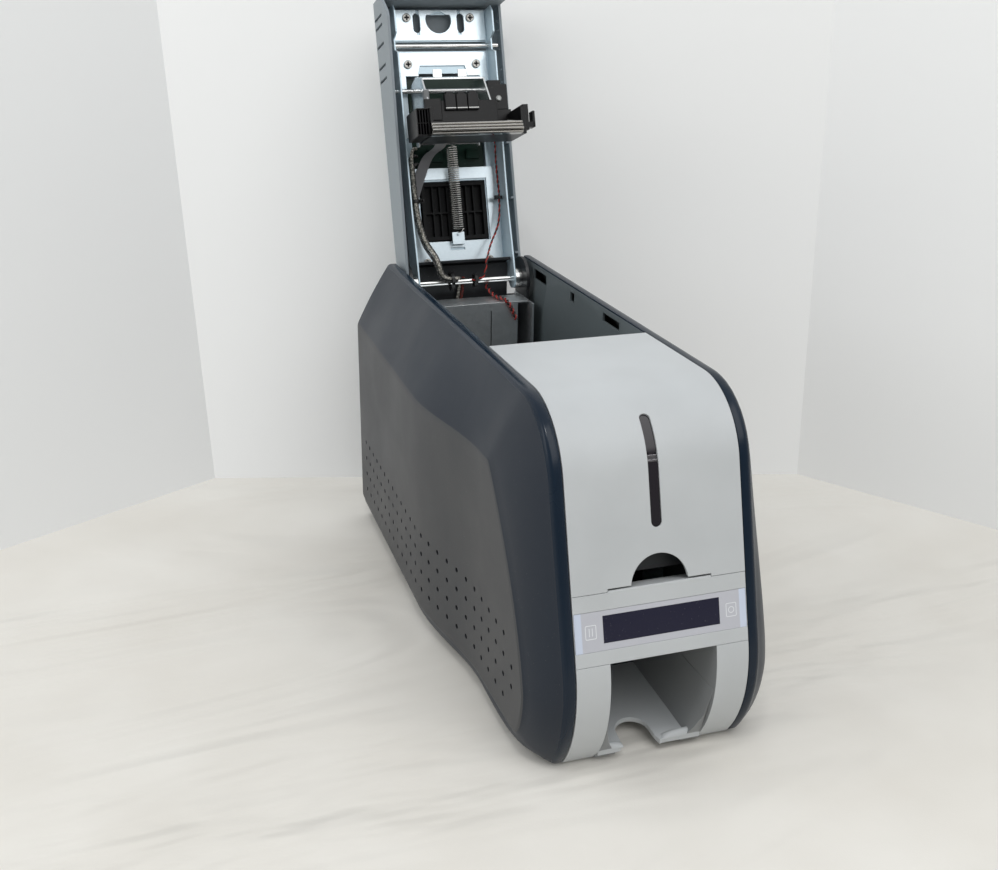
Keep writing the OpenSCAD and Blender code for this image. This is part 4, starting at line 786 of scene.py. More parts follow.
# Hopper cover: top and front in one moulding, with a finger notch and a window slot. A flange
# down each side stiffens it and holds the pin that it turns on.
FLANGE_T, FLANGE_DEPTH, FLANGE_SHORT = 2.4, 12, 10
PIN_Y, PIN_Z, PIN_R = -44, 206, 3.4
CUTTER_BACK_Y = -165
bm = bmesh.new()
back_run = UP_TO_LEVEL + COVER_BACK - LEVEL_TOP_Y
rind(bm, (0, COVER_WALL), centred(STRIP_HALF), (run_at(COVER_LOW), back_run), 90)
hopper_cover = new_object("hopper_cover_moulding", bm, grey)
notch = bmesh.new()
prism(notch, [[(x, y, z) for x, z in circle(0, NOTCH_Z, NOTCH_R, 72)]
              for y in (NOSE_Y - 5, CUTTER_BACK_Y)])
step_gap = bmesh.new()
block(step_gap, (-STEP_HALF, NOSE_Y - 5, 100), (STEP_HALF, CUTTER_BACK_Y, COVER_LOW + STEP_HIGH))
slot_runs = between(SLOT_LOW, SLOT_TOP)
cut(hopper_cover, [(step_gap, grey), (notch, grey),
                   (capsule_solid(SLOT_HALF, slot_runs, (-1, COVER_WALL + 1)), grey)])
bm = reopened(hopper_cover)
for sign in (-1, 1):
    flange = (sign * (STRIP_HALF - FLANGE_T), sign * STRIP_HALF)
    rind(bm, (COVER_WALL - 0.2, FLANGE_DEPTH), sorted(flange),
         (run_at(COVER_LOW), back_run - FLANGE_SHORT), 60)
    prism(bm, [[(x, *point) for point in circle(PIN_Y, PIN_Z, PIN_R, 20)] for x in flange])
put_back(bm, hopper_cover, 0.35)
fit_in_place(hopper_cover, "hopper_lid", "body_grey", "hopper_cover")

# Window: a smoked strip that fills the slot, a little below the cover's face. It has two
# lengths, with a bright bar across where the upper one steps back.
smoke = moulded("smoked window", (0.012, 0.009, 0.013), 0.14, depth=0.000001, dust=0, gleam=0.45)
bright_rim = plated("window step gloss", (0.22, 0.21, 0.22), 0.15, bloom=0.0)
WINDOW_GAP, BAR_Z, BAR_GAP = 0.15, 180, 1.2
WINDOW_HALF = SLOT_HALF - WINDOW_GAP
bar_run = run_at(BAR_Z)
window = new_object("card_window", capsule_solid(
    WINDOW_HALF, (slot_runs[0] + WINDOW_GAP, bar_run - BAR_GAP), (0.7, 2.4)), smoke)
window_top = new_object("card_window_top", capsule_solid(
    WINDOW_HALF, (bar_run + BAR_GAP, slot_runs[1] - WINDOW_GAP), (1.1, 2.4)), smoke)
bm = bmesh.new()
for depths, low, high, steps in (((0.5, 2.3), -2.6, -1.4, 3), ((0.9, 2.3), 0.2, 1.4, 3),
                                 ((1.6, 2.4), -2.6, 1.4, 5)):
    rind(bm, depths, centred(WINDOW_HALF), (bar_run + low, bar_run + high), steps)
window_bar = new_object("card_window_bar", bm, bright_rim)
for piece, width in ((window, 0.7), (window_top, 0.9), (window_bar, 0.3)):
    smooth(piece)
    bevelled(piece, width, 3)
    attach(piece, "hopper_lid")
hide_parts("hopper_window")

# Display bezel: a band across the nose, recessed for the printed overlay, with a narrow ledge
# that looks out under the hopper cover's notch
BEZEL_LOW, BEZEL_HIGH = 72.8, 111.3
OVERLAY_LOW, OVERLAY_HIGH = 80.5, 102.3
GLASS_HALF, GLASS_LOW, GLASS_HIGH = 35.5, 84.4, 99.4
bm = bmesh.new()
side_runs = between(BEZEL_LOW, BEZEL_HIGH)
rind(bm, (0, 3), centred(STRIP_HALF), side_runs)
bezel = new_object("display_bezel_moulding", bm, grey)
recess = bmesh.new()
rind(recess, (-1, 1), centred(STRIP_HALF - 0.35), between(OVERLAY_LOW, OVERLAY_HIGH), 20)
cut(bezel, [(recess, grey)])
bm = reopened(bezel)
rind(bm, (0.03, 2.9), centred(STEP_HALF - 0.3), between(BEZEL_HIGH - 0.4, BEZEL_HIGH + 0.9), 3)
rind(bm, (2, 13), centred(STEP_HALF - 0.6), between(BEZEL_HIGH - 1.5, BEZEL_HIGH + 0.5), 4)
for sign in (-1, 1):
    rind(bm, (2, 11), sorted((sign * (STRIP_HALF - FLANGE_T), sign * STRIP_HALF)), side_runs)
put_back(bm, bezel, 0.3)
fit_in_place(bezel, "chassis", "body_grey", "display_bezel")

# Overlay: a printed film stuck in the bezel's recess, grey in the middle and lavender at both
# ends, with a dark glass in its opening.
FILM_HALF = 52.2
overlay_film, tree, shader = start_material("overlay film", 0.38)
place = add_node(tree, "ShaderNodeTexCoord").outputs["Object"]
side = add_node(tree, "ShaderNodeSeparateXYZ", Vector=place)
off_centre = add_node(tree, "ShaderNodeMath", {"operation": "ABSOLUTE"})
tree.links.new(side.outputs["X"], off_centre.inputs[0])
ends = add_node(tree, "ShaderNodeMapRange", Value=off_centre.outputs[0], From_Min=0.0478, From_Max=0.0484)
film = place_group(tree, mould_grain, Size=0.0003)
tint = blend_colour(tree, ends.outputs[0], (0.51, 0.515, 0.56), (0.60, 0.665, 0.80))
tint = blend_colour(tree, film["Patches"], tint, (0.50, 0.52, 0.57), 0.25)
give_surface(tree, shader, tint, film["Height"], 0.2, 0.00001)

bm = bmesh.new()
film_runs = between(OVERLAY_LOW + 0.15, OVERLAY_HIGH - 0.15)
glass_runs = between(GLASS_LOW, GLASS_HIGH)
for xs, runs in (((-FILM_HALF, -GLASS_HALF), film_runs), ((GLASS_HALF, FILM_HALF), film_runs),
                 (centred(GLASS_HALF), (film_runs[0], glass_runs[0])),
                 (centred(GLASS_HALF), (glass_runs[1], film_runs[1]))):
    rind(bm, (0.12, 0.95), xs, runs, 8)
overlay = new_object("overlay_film", bm, overlay_film)
smooth(overlay)
fit_in_place(overlay, "chassis", "overlay_print", "display_overlay")
glass_dark = moulded("display glass", (0.013, 0.013, 0.032), 0.16, depth=0.000002, dust=0.2, gleam=0.3)
bm = bmesh.new()
rind(bm, (0.2, 0.95), centred(GLASS_HALF - 0.1), (glass_runs[0] + 0.1, glass_runs[1] - 0.1), 8)
glass = new_object("display_window", bm, glass_dark)
smooth(glass)
fit_in_place(glass, "chassis", "display_glass", "display_glass")

# Touch keys: thin white outlines printed on the film, each a frame with round corners. The left
# one holds two bars and the right one a closed ring.
KEY_X, KEY_Z, KEY_W, KEY_H, KEY_R = 42.8, 91.4, 3.1, 3.8, 0.6
BAR_APART, BAR_REACH, RING_R = 0.9, 2.3, 1.7
INK, INK_DEPTH = 0.4, 0.09
ink_white = moulded("key ink", (0.78, 0.80, 0.82), 0.5, depth=0.000002, dust=0)


def key_point(x, run):
    """Point on the film's face, where ink lies."""
    rim, inward = outline_at(run)
    return metres(x, *(rim + inward * INK_DEPTH))


def printed_line(bm, points, closed):
    """Flat printed line of the ink's width through points given as x and run."""
    points = [Vector(p) for p in points]
    edges = []
    for k, point in enumerate(points):
        ahead = points[(k + 1) % len(points)] if closed or k < len(points) - 1 else point
        behind = points[k - 1] if closed or k else point
        along = (ahead - behind).normalized()
        offset = Vector((-along.y, along.x)) * INK / 2
        edges.append((bm.verts.new(key_point(*(point + offset))), bm.verts.new(key_point(*(point - offset)))))
    for k in range(len(edges) if closed else len(edges) - 1):
        near, far = edges[k], edges[(k + 1) % len(edges)]
        bm.faces.new((near[0], near[1], far[1], far[0]))


def arc(centre, radius, start, end, steps):
    """Points of an arc between two angles, both ends included."""
    return [(centre[0] + radius * math.cos(start + (end - start) * k / steps),
             centre[1] + radius * math.sin(start + (end - start) * k / steps)) for k in range(steps + 1)]


bm = bmesh.new()
key_run = run_at(KEY_Z)
for x in (-KEY_X, KEY_X):
    frame_line = []
    for quarter, (dx, dz) in enumerate(((1, 1), (-1, 1), (-1, -1), (1, -1))):
        middle = (x + dx * (KEY_W - KEY_R), key_run + dz * (KEY_H - KEY_R))
        frame_line += arc(middle, KEY_R, math.pi / 2 * quarter, math.pi / 2 * (quarter + 1), 5)
    printed_line(bm, frame_line, True)
for shift in centred(BAR_APART):
    printed_line(bm, [(-KEY_X + shift, key_run - BAR_REACH), (-KEY_X + shift, key_run + BAR_REACH)], False)
printed_line(bm, arc((KEY_X, key_run), RING_R, 0, math.tau, 24)[:-1], True)
bmesh.ops.recalc_face_normals(bm, faces=bm.faces)
keys = new_object("touch_key_prints", bm, ink_white)
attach(keys, "chassis")

# Output hopper: two pillars in line with the nose, a sloping floor with a finger scoop in its
# front edge, a low lip at each side of the scoop, and a back wall painted black as shade. Its
# inner walls are painted a darker grey as shade.
OUTPUT_HALF, OUTPUT_TOP, OUTPUT_END = 32.5, 72.5, -110
FLOOR_NOSE_Z, FLOOR_SLOPE, FLOOR_T = 6.6, 0.13, 3
SCOOP_X, SCOOP_Y, SCOOP_R = -5.5, -170, 10.5


def floor_z(y):
    """Height of the hopper's floor at y."""
    return FLOOR_NOSE_Z + (y - NOSE_Y) * FLOOR_SLOPE


bm = bmesh.new()
nose_line = [outline_at(run_at(OUTPUT_TOP) + (-CHIN_R * FLOOR_TURN - run_at(OUTPUT_TOP)) * k / 40)[0]
             for k in range(41)]
profile = [(p.x, p.y) for p in nose_line] + [(OUTPUT_END, FOOT_H), (OUTPUT_END, OUTPUT_TOP)]
for sign in (-1, 1):
    prism(bm, [[(x, y, z) for y, z in profile] for x in sorted((sign * OUTPUT_HALF, sign * STRIP_HALF))])
# The floor's plan: its front edge swings in round the scoop and out to the lips
FLOOR_FRONT = -181.8
scoop = arc((SCOOP_X, SCOOP_Y), SCOOP_R, 0, math.pi, 16)
flare = [(8.5, FLOOR_FRONT + 0.2), (6.6, -182), (5.3, -178), (5.0, -173.5)]
plan = ([(OUTPUT_HALF, OUTPUT_END), (OUTPUT_HALF, FLOOR_FRONT)] + flare + scoop
        + [(-16.4, -176), (-17.5, -181), (-19, FLOOR_FRONT), (-OUTPUT_HALF, FLOOR_FRONT),
           (-OUTPUT_HALF, OUTPUT_END)])
prism(bm, [[(x, y, floor_z(y) + lift) for x, y in plan] for lift in (-FLOOR_T, 0)])
LIP_RISE, LIP_RAMP, LIP_STEPS = 3.4, 12, 12
for x0, x1 in ((9, OUTPUT_HALF), (-OUTPUT_HALF, -16.5)):
    rings = []
    for k in range(LIP_STEPS + 1):
        x = x0 + (x1 - x0) * k / LIP_STEPS
        inner_end = min(1, (x - x0 if x0 > 0 else x1 - x) / LIP_RAMP)
        rise = LIP_RISE * math.sqrt(max(0.04, 1 - (1 - inner_end) ** 2))
        ring = []
        for j in range(9):
            a = math.pi * j / 8
            y = FLOOR_FRONT + 2.2 - 2.4 * math.cos(a)
            ring.append((x, y, floor_z(y) - 0.5 + rise * math.sin(a)))
        rings.append(ring)
    prism(bm, rings)
# Places of the finishes on this piece, after the pillars' grey
BACK_PAINTED_SHADE, INSIDE_PAINTED_SHADE = 1, 2
bm.normal_update()
# Painted shade: the pillars' inner faces take the darker grey.
for face in bm.faces:
    middle = face.calc_center_median() * 1000
    if (abs(abs(middle.x) - OUTPUT_HALF) < 0.1 and abs(face.normal.x) > 0.9
            and middle.z > floor_z(middle.y - BODY_SHIFT) + 3):
        face.material_index = INSIDE_PAINTED_SHADE
# Painted shade: a black wall at the back of the bay, for the shade deep in it.
block(bm, (-OUTPUT_HALF, OUTPUT_END - 2.5, FOOT_H + 2), (OUTPUT_HALF, OUTPUT_END, 70), BACK_PAINTED_SHADE)
# Each inner wall runs out into the floor in a hollow curve, in the darker grey of painted shade
for sign in (-1, 1):
    foot = [(OUTPUT_HALF + 1, 44), (OUTPUT_HALF - 0.2, 44), (OUTPUT_HALF - 2, 26), (OUTPUT_HALF - 5.5, 14),
            (OUTPUT_HALF - 12, 3), (OUTPUT_HALF + 1, 3)]
    back_ring = [(sign * x, OUTPUT_END - 1, z + (floor_z(OUTPUT_END) - 3 if z < 30 else 0)) for x, z in foot]
    front_ring = [(sign * x, outline_at(run_at(max(z, 7)))[0].x + 1.6, z) for x, z in foot]
    prism(bm, [back_ring, front_ring], INSIDE_PAINTED_SHADE)


def solid_piece(name, bm, *materials, soft=None, segments=2, angle=30):
    """A piece from closed solids: faces outward and smooth, and sharp edges rounded by soft mm."""
    bmesh.ops.recalc_face_normals(bm, faces=bm.faces)
    piece = new_object(name, bm, *materials)
    if angle:
        smooth(piece, angle)
    if soft:
        bevelled(piece, soft, segments)
    return piece


output_hopper = solid_piece("output_hopper_moulding", bm, grey, panel_black, moulded(
    "hopper inside painted shade", (0.27, 0.28, 0.285), 0.6, grain=0.0005), soft=0.7, segments=3)
fit_in_place(output_hopper, "chassis", "body_grey", "output_hopper")

# Rear cover: a grey moulded lid with a folded steel frame and screwed sheet plates inside it.
# Behind the openings stand a black cassette housing and a green circuit board.
dress(moulded("cover plastic", (0.235, 0.27, 0.295), 0.5), "cover_shell")
frame_zinc = plated("cover frame zinc", (0.54, 0.66, 0.73), 0.3, depth=0.000002, bloom=0.1, metal=0.4,
                    cloud=0.02)
plate_zinc = plated("cover plate zinc", (0.74, 0.84, 0.90), 0.26, depth=0.000001, bloom=0.06, metal=0.6,
                    cloud=0.015)
REAR_HINGE_Y, REAR_HINGE_Z, COVER_LEAN = 184, 196, math.radians(17)


def on_cover(x, v, w):
    """A point of the cover, drawn upright on its rod, as the drawing's point with it open."""
    return (x, REAR_HINGE_Y + v * math.cos(COVER_LEAN) + w * math.sin(COVER_LEAN),
            REAR_HINGE_Z - v * math.sin(COVER_LEAN) + w * math.cos(COVER_LEAN))


def remade(node, name, material):
    """A new piece with a CAD node's mesh, welded, so that it can be cut and smoothed."""
    bm = reopened(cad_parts[node])
    bmesh.ops.remove_doubles(bm, verts=bm.verts, dist=1e-6)
    layer = bm.loops.layers.float_vector.get("custom_normal")
    if layer:
        bm.loops.layers.float_vector.remove(layer)
    for face in bm.faces:
        face.material_index = 0
    return new_object(name, bm, material)


# The tip plate's round hole, flat at its top, and two long slots go through the frame's web too
FRAME_TOP = 214
HOLE_W, HOLE_R, HOLE_FLAT = FRAME_TOP - 7.5, 10.5, 4
SLOT_X, SLOT_R, SLOT_FOOT, SLOT_HEAD = 18, 2.9, FRAME_TOP - 17.5, FRAME_TOP - 2.5
WEB_FRONT, WEB_BACK = 10, 20
hole_rings = [[(x, min(w, HOLE_W + HOLE_FLAT)) for x, w in circle(0, HOLE_W, HOLE_R, 40)]]
for x in centred(SLOT_X):
    hole_rings.append(arc((x, SLOT_HEAD - SLOT_R), SLOT_R, 0, math.pi, 10)
                      + arc((x, SLOT_FOOT + SLOT_R), SLOT_R, math.pi, math.tau, 10))
for node, name, finish, slot in (("cover_frame", "cover_steel_frame", frame_zinc, "cover_sheet"),
                                 ("cover_plates", "cover_sheet_plates", plate_zinc, "cover_plate")):
    bm = bmesh.new()
    for ring in hole_rings:
        prism(bm, [[on_cover(x, v, w) for x, w in ring] for v in (WEB_FRONT, WEB_BACK)])
    piece = remade(node, name, finish)
    cut(piece, [(bm, finish)])
    smooth(piece)
    bevelled(piece, 0.15, 1)
    fit_in_place(piece, "rear_cover", slot, node)
dress(moulded("housing plastic", (0.003, 0.0035, 0.004), 0.5, gleam=0.2), "cover_housing")
dress(moulded("cover board green", (0.002, 0.020, 0.012), 0.4, gleam=0.3), "cover_board")

# Cover screws: pan heads of nickelled steel with a cross cut in each, screwed through plates and
# frame into the cover's posts.
SCREW_HEAD_V, CROSS_LONG, CROSS_THIN, CROSS_DEPTH = 11.9, 1.9, 0.45, 1
SCREW_SPOTS = [(x * side, w) for x, w in ((26, 17), (28, FRAME_TOP - 42), (26, FRAME_TOP - 6))
               for side in (-1, 1)]
screws = remade("cover_screws", "cover_screw_set",
                plated("screw nickel", (0.36, 0.35, 0.33), 0.22, edge=0.0012, metal=0.9))
# Painted shade: the cut crosses are coloured near black.
screw_cross_painted_shade = moulded("screw cross painted shade", (0.02, 0.02, 0.02), 0.6)
crosses = [bmesh.new(), bmesh.new()]


def cover_block(bm, low, high):
    """Box on the cover between two corners given as x, depth and height over the rod."""
    prism(bm, [[on_cover(x, v, w) for x, v in ((low[0], low[1]), (high[0], low[1]), (high[0], high[1]),
                                               (low[0], high[1]))] for w in (low[2], high[2])])


for x, w in SCREW_SPOTS:
    for cross, wide, high in ((crosses[0], CROSS_LONG, CROSS_THIN), (crosses[1], CROSS_THIN, CROSS_LONG)):
        cover_block(cross, (x - wide, SCREW_HEAD_V - CROSS_DEPTH, w - high),
                    (x + wide, SCREW_HEAD_V + CROSS_DEPTH, w + high))
cut(screws, [(cross, screw_cross_painted_shade) for cross in crosses])
smooth(screws)
bevelled(screws, 0.5, 3)
fit_in_place(screws, "rear_cover", "screw_steel", "cover_screws")

# Print head: a bright steel arm on its shaft holds a black carrier. The fluted head bar lies
# along its front edge, with a cable socket and a small spring behind it, and a sensor beside it.
HEAD_FRONT, HEAD_BACK, HEAD_LOW, HEAD_HIGH = -60, -24, 104, 128
CARRIER_LEFT, CARRIER_RIGHT, CAGE_LEFT, CHEEK_RIGHT, CLIP_RIGHT = -34, 40, -43, 43.5, 48.5
CAGE_BACK, CAGE_SLATS, SLAT_PITCH = -30, 5, 2.1
arm_steel = plated("arm steel", (0.70, 0.72, 0.73), 0.2, metal=0.9)
dress(arm_steel, "head_arm")
carrier_black = moulded("carrier plastic", (0.0035, 0.0035, 0.004), 0.33, edge=0.0004, dust=0.15, gleam=0.3)
bm = bmesh.new()
for low, high in [
        # Floor, back wall and both end walls
        ((CARRIER_LEFT, HEAD_FRONT, HEAD_LOW), (CARRIER_RIGHT, HEAD_BACK, HEAD_LOW + 5)),
        ((CARRIER_LEFT, HEAD_BACK - 4, HEAD_LOW + 1), (CARRIER_RIGHT, HEAD_BACK, HEAD_HIGH)),
        ((CARRIER_LEFT, HEAD_FRONT, HEAD_LOW + 1), (CARRIER_LEFT + 2.5, HEAD_BACK - 1, HEAD_HIGH - 3)),
        ((36.5, HEAD_FRONT + 1, HEAD_LOW + 1), (CARRIER_RIGHT, HEAD_BACK - 1, HEAD_HIGH - 4)),
        # Step along the back, and the seat of the cable plugs on it
        ((-32, -40, HEAD_LOW + 4), (37, HEAD_BACK - 3, HEAD_LOW + 13)),
        ((-12, -39, HEAD_LOW + 8), (24, HEAD_BACK - 3, HEAD_HIGH - 2)),
        # Cage at the left end: its back, top, floor and shelf
        ((CAGE_LEFT, -31, HEAD_LOW + 1), (-33.5, HEAD_BACK - 2, HEAD_HIGH - 3)),
        ((CAGE_LEFT, HEAD_FRONT + 4, HEAD_HIGH - 4), (-33.5, CAGE_BACK, HEAD_HIGH - 3)),
        ((CAGE_LEFT, HEAD_FRONT + 4, HEAD_LOW + 1), (-33.5, CAGE_BACK, HEAD_LOW + 2)),
        ((CAGE_LEFT + 0.2, HEAD_FRONT + 5, HEAD_LOW + 10), (-33.5, CAGE_BACK, HEAD_LOW + 10.8)),
        # Cheek at the right end, with two clips and the front one's finger
        ((39, HEAD_FRONT + 3, HEAD_LOW + 3), (CHEEK_RIGHT, HEAD_BACK - 4, HEAD_HIGH - 2)),
        ((43, HEAD_FRONT + 3, HEAD_LOW + 5), (CLIP_RIGHT, HEAD_FRONT + 11, HEAD_LOW + 9)),
        ((43, HEAD_BACK - 12, HEAD_LOW + 5), (CLIP_RIGHT, HEAD_BACK - 4, HEAD_LOW + 9)),
        ((CLIP_RIGHT - 2, HEAD_FRONT + 3, HEAD_LOW + 5), (CLIP_RIGHT, HEAD_FRONT + 11, HEAD_LOW + 17))]:
    cover_block(bm, low, high)
for k in range(CAGE_SLATS):
    x = CAGE_LEFT + SLAT_PITCH * k
    cover_block(bm, (x, HEAD_FRONT + 4.4, HEAD_LOW + 1.4), (x + 0.8, CAGE_BACK - 0.4, HEAD_HIGH - 3.4))
carrier = solid_piece("head_carrier_moulding", bm, carrier_black, soft=0.35)
fit_in_place(carrier, "print_head_assembly", "carrier_black", "head_carrier")

# Cable socket: three black plugs side by side over two black bars, each plug with a pale line
# along its foot. Beside them stands the post that the arm's left cheek is pinned to.
PLUG_SPOTS, LINE_IN = (-17.5, -8.6, 0.3), 0.3
bm = bmesh.new()
for x in PLUG_SPOTS:
    cover_block(bm, (x, -46, HEAD_HIGH - 3), (x + 8.4, -40.4, HEAD_HIGH + 9))
    cover_block(bm, (x + 1.2, -45, HEAD_HIGH + 8), (x + 7.2, -40.6, HEAD_HIGH + 11))
cover_block(bm, (-31, -43.5, HEAD_HIGH - 16), (24, -40.3, HEAD_HIGH + 4.5))
cover_block(bm, (-33, -44, HEAD_HIGH - 10), (-20, -40.3, HEAD_HIGH + 6))
plugs = solid_piece("head_cable_plugs", bm, carrier_black, soft=0.5)
bm = bmesh.new()
for x in PLUG_SPOTS:
    cover_block(bm, (x + LINE_IN, -46.4, HEAD_HIGH - 1.8), (x + LINE_IN + 7.8, -45.8, HEAD_HIGH - 1.1))
plug_line = solid_piece("head_plug_line", bm, moulded("white nylon", (0.80, 0.80, 0.78), 0.5, dust=0),
                        angle=0)
bm = bmesh.new()
cover_block(bm, (-29.5, -33, HEAD_HIGH - 3), (-25.5, -28, HEAD_HIGH + 15))
post = solid_piece("head_arm_post", bm, moulded("post plastic", (0.16, 0.165, 0.17), 0.4), soft=0.8,
                   segments=3, angle=0)
for piece in (plugs, plug_line, post):
    fit_in_place(piece, "print_head_assembly", "carrier_black")

# Head bar: a ground heater bar along the carrier's front edge, with four flutes along its face.
# The lift spring and the small head spring are drawn wire.
FLUTES, FLUTE_TOP, FLUTE_PITCH, BAR_HALF = 4, 111.8, 2.35, 35
bm = bmesh.new()
bar_profile = [(HEAD_FRONT, 103.5), (HEAD_FRONT, 113.4), (HEAD_FRONT - 3, 113.4)]
for k in range(FLUTES):
    middle = FLUTE_TOP - FLUTE_PITCH * k
    reach = HEAD_FRONT - 5.5 - (1.2 * k if k < FLUTES - 1 else 0.8)
    bar_profile += [(reach + 1.2 - 1.6 * math.sin(a), middle + 1.0 * math.cos(a))
                    for a in (math.pi * j / 8 for j in range(9))]
bar_profile.append((HEAD_FRONT - 3, 103.6))
prism(bm, [[on_cover(x, v, w) for v, w in bar_profile] for x in centred(BAR_HALF)])
head_bar = solid_piece("print_head_bar", bm, plated("head bar", (0.42, 0.41, 0.39), 0.13, bloom=0.1))
fit_in_place(head_bar, "print_head_assembly", "head_ceramic", "print_head")
dress(plated("spring wire", (0.66, 0.65, 0.62), 0.2, depth=0.000002, bloom=0.05, metal=0.85),
      "lift_spring", "head_spring")

# Sensor block: a black box at the carrier's right end, with one grey pan-head screw in its face.
# The thin red and black pair of wires further down belongs to it.
SCREW_X, SCREW_W = 31, 136.5
bm = bmesh.new()
cover_block(bm, (22.6, HEAD_BACK - 3, HEAD_HIGH), (38.4, -5, 147.5))
cover_block(bm, (25, HEAD_BACK + 4, 146), (36, -8, 152))
sensor = solid_piece("sensor_box", bm, carrier_black, soft=0.6, segments=3)
fit_in_place(sensor, "print_head_assembly", "carrier_black", "sensor_block")
bm = bmesh.new()
prism(bm, [[on_cover(x, HEAD_BACK - proud, w) for x, w in circle(SCREW_X, SCREW_W, radius, 24)]
           for radius, proud in ((2.3, 2.9), (2.3, 3.6), (1.5, 4.2))])
sensor_screw = solid_piece("sensor_screw", bm, plated("dull steel", (0.34, 0.35, 0.34), 0.35, metal=0.7))
fit_in_place(sensor_screw, "print_head_assembly", "screw_steel")

# Leads: braided ones come from the cover's board down to the rod, a thin red and black pair
# from the sensor, and others on from the rod to the main board. Black ties hold them.
BRAID_PITCH = 0.0016


def braided(name, light, dark):
    """Woven sleeve: light and dark strands that cross along the lead."""
    material, tree, shader = start_material(name, 0.6)
    place = add_node(tree, "ShaderNodeTexCoord").outputs["Object"]
    strands = add_node(tree, "ShaderNodeTexVoronoi", Vector=place, Scale=1 / BRAID_PITCH)
    far = strands.outputs["Distance"]
    share = add_node(tree, "ShaderNodeMapRange", Value=far, From_Min=0.25, From_Max=0.6)
    give_surface(tree, shader, blend_colour(tree, share.outputs[0], light, dark), far, 0.8, 0.0003,
                 {"invert": True})
    return material


def eased(points, steps):
    """Points on a smooth curve through the given ones."""
    points = [Vector(p) for p in points]
    run = []
    for k in range(len(points) - 1):
        a, b = points[max(0, k - 1)], points[k]
        c, d = points[k + 1], points[min(len(points) - 1, k + 2)]
        for j in range(steps):
            t = j / steps
            bend = (2 * a - 5 * b + 4 * c - d) + t * (3 * (b - c) + d - a)
            run.append(b + 0.5 * t * ((c - a) + t * bend))
    return run + [points[-1]]


def moved(points, shift):
    """A run shifted sideways, for the lead that lies beside it."""
    return [tuple(a + b for a, b in zip(point, shift)) for point in points]


LEAD_SIDES = 8


def lead(bm, run, radius, place_of, phase=0.0, twist=0.0, turns=0.8):
    """Round lead along a run; phase and twist wind it round the run as one of a pair."""
    points = [Vector(place_of(*p)) for p in run]
    across = Vector((1, 0.13, 0.21))
    rings, frames, length = [], [], 0.0
    for k, point in enumerate(points):
        along = (points[min(len(points) - 1, k + 1)] - points[max(0, k - 1)]).normalized()
        across = (across - along * across.dot(along)).normalized()
        frames.append((point, across.copy(), along.cross(across)))
    for k, (point, u, v) in enumerate(frames):
        length += (points[k] - points[k - 1]).length if k else 0
        turn = phase + length * turns
        offset = (u * math.cos(turn) + v * math.sin(turn)) * twist
        rings.append([point + offset + (u * math.cos(a) + v * math.sin(a)) * radius
                      for a in (math.tau * j / LEAD_SIDES for j in range(LEAD_SIDES))])
    prism(bm, rings)


def lead_piece(name, runs, radius, material, place_of, body, *nodes, steps=4, **winding):
    """One piece of the leads that follow the runs, in place of its CAD nodes."""
    bm = bmesh.new()
    for run in runs:
        lead(bm, eased(run, steps), radius, place_of, **winding)
    fit_in_place(solid_piece(name, bm, material, angle=50), body, "lead_black", *nodes)


BUNDLE = [(-34.5, 10.2, 84), (-34.6, 8.5, 66), (-34, 6.2, 48), (-31, 2.4, 31), (-26.6, -6.8, 18),
          (-24.5, -8.4, 10.5), (-22.4, -7, 4), (-17.6, -5.6, 0.6), (-8, -5.4, 0)]
LEFT_START = [(-26.5, 15.6, 101), (-30, 13, 101), (-33.8, 10.9, 98.4), (-34.6, 10, 93)]
RIGHT_START = [(-26.5, 15.6, 95), (-29.2, 13, 94.4), (-31.4, 10.8, 91.6)]
FRONT_START = [(-26.5, 15.6, 107), (-29.3, 12.8, 106.6), (-32.2, 9.4, 102.6), (-33.4, 7.5, 94.6)]
SENSOR_RUN = [(31, -8, 147.6), (33.4, -5, 151), (35.6, 1, 143), (35.4, 2.6, 120), (36.2, 7.6, 92),
              (36.4, 7.8, 78), (35.9, 6, 65), (33, 4, 45), (24, 0.5, 28), (17, -7.2, 15), (15, -6.4, 5.5),
              (11.4, -5, 1.2), (4, -4.8, 0.4)]
BOARD_END_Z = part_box("body_wires")[0].z * 1000 - REAR_HINGE_Z + 1.3
ROD_LEAD = [(-3, 5.5, 2), (-3.4, 6.1, -6), (-5.4, 4.8, -16), (-11, 4.2, -40), (-13, 4, -62), (-13, 2, -120),
            (-13, 0, BOARD_END_Z)]
PAIR_RUN = [(18.5, 4.5, -5), (19.5, -2, -8.6), (22, -12, -11.2), (25.5, -22, -11), (28, -26.6, -14),
            (31, -26.6, -20), (34, -26.6, -27)]


def from_rod(x, y, z):
    """A point given from the hinge rod, as the drawing's point."""
    return (x, REAR_HINGE_Y + y, REAR_HINGE_Z + z)


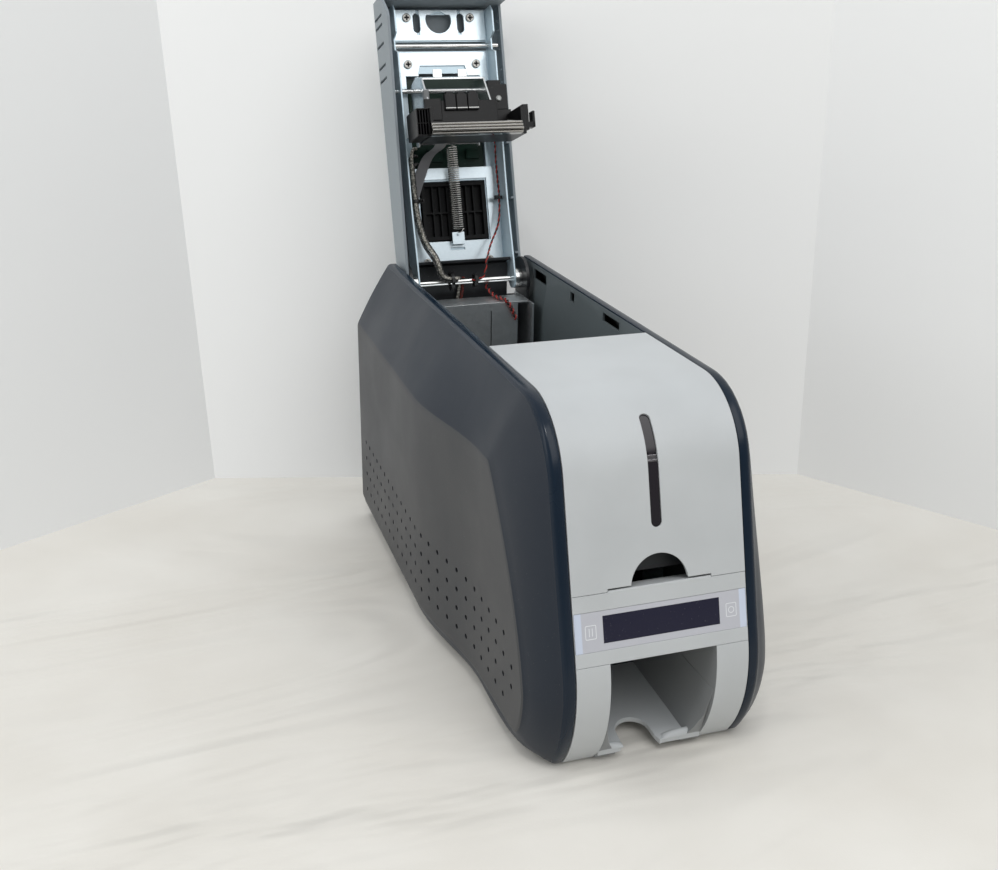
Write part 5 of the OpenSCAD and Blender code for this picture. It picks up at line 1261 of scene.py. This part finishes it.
braid_pale = braided("pale braid", (0.62, 0.59, 0.52), (0.16, 0.15, 0.13))
braid_dark = braided("dark braid", (0.16, 0.16, 0.155), (0.02, 0.02, 0.02))
wire_red = moulded("red wire", (0.42, 0.028, 0.020), 0.4, depth=0.000004, dust=0.05)
wire_black = moulded("black wire", (0.018, 0.016, 0.016), 0.4, depth=0.000004, dust=0.05)
BRAID_R, DARK_R, SENSOR_R, PAIR_R = 1.3, 1.2, 0.5, 0.7
lead_piece("cover_lead_pale", [FRONT_START + moved(BUNDLE, (1, -2.6, 2.2))], BRAID_R, braid_pale, on_cover,
           "rear_cover", "cover_cables")
lead_piece("cover_leads_dark", [LEFT_START + BUNDLE, RIGHT_START + moved(BUNDLE, (2.8, 0, 2.8))], DARK_R,
           braid_dark, on_cover, "rear_cover")
WIRES = (("red", wire_red, 0, ["sensor_wire"]), ("black", wire_black, math.pi, []))
for colour, finish, phase, nodes in WIRES:
    lead_piece("sensor_wire_" + colour, [SENSOR_RUN], SENSOR_R, finish, on_cover, "rear_cover", *nodes,
               steps=12, phase=phase, twist=0.5)
lead_piece("body_lead_pale", [ROD_LEAD], BRAID_R, braid_pale, from_rod, "chassis", "body_wires")
braid_red = braided("red braid", (0.30, 0.05, 0.035), (0.08, 0.015, 0.012))
lead_piece("body_lead_red", [moved(ROD_LEAD, (3, 0.2, 0))], BRAID_R, braid_red, from_rod, "chassis")
for colour, finish, phase, _ in WIRES:
    lead_piece("ledge_wire_" + colour, [PAIR_RUN], PAIR_R, finish, from_rod, "chassis",
               steps=12, phase=phase, twist=0.95, turns=1.1)

# Flat cable: a grey ribbon of eighteen cores from the head down behind the web, drawn where it
# lies with the cover open.
FLAT_RUN = [(-15, -23.4, 108), (-15, -13, 104), (-16, -3, 102.4), (-18, 6, 101), (-21, 11.6, 96),
            (-27, 12.2, 83), (-33, 12.2, 68), (-33.8, 12.2, 60)]
FLAT_W, FLAT_T, FLAT_CORES = 9.0, 0.5, 18
flat_grey, tree, shader = start_material("flat cable grey", 0.5)
surface = place_group(tree, mould_grain, Size=0.0005)
give_surface(tree, shader, blend_colour(tree, surface["Patches"], (0.15, 0.15, 0.165), (0.23, 0.23, 0.24)),
             surface["Height"], 0.3, 0.00002)
rings = []
for point in eased(FLAT_RUN, 4):
    ring = []
    for side in (1, -1):
        for k in range(2 * FLAT_CORES + 1):
            across = side * (k / (2 * FLAT_CORES) - 0.5) * FLAT_W
            thick = FLAT_T / 2 * (1 if k % 2 else 0.7)
            ring.append(on_cover(point.x + across, point.y - side * thick, point.z))
    rings.append(ring)
bm = bmesh.new()
prism(bm, rings)
flat_cable = solid_piece("head_flat_cable", bm, flat_grey, angle=60)
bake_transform(flat_cable)
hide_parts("flat_cable")
dress(moulded("tie nylon", (0.010, 0.010, 0.011), 0.4), "cable_ties")
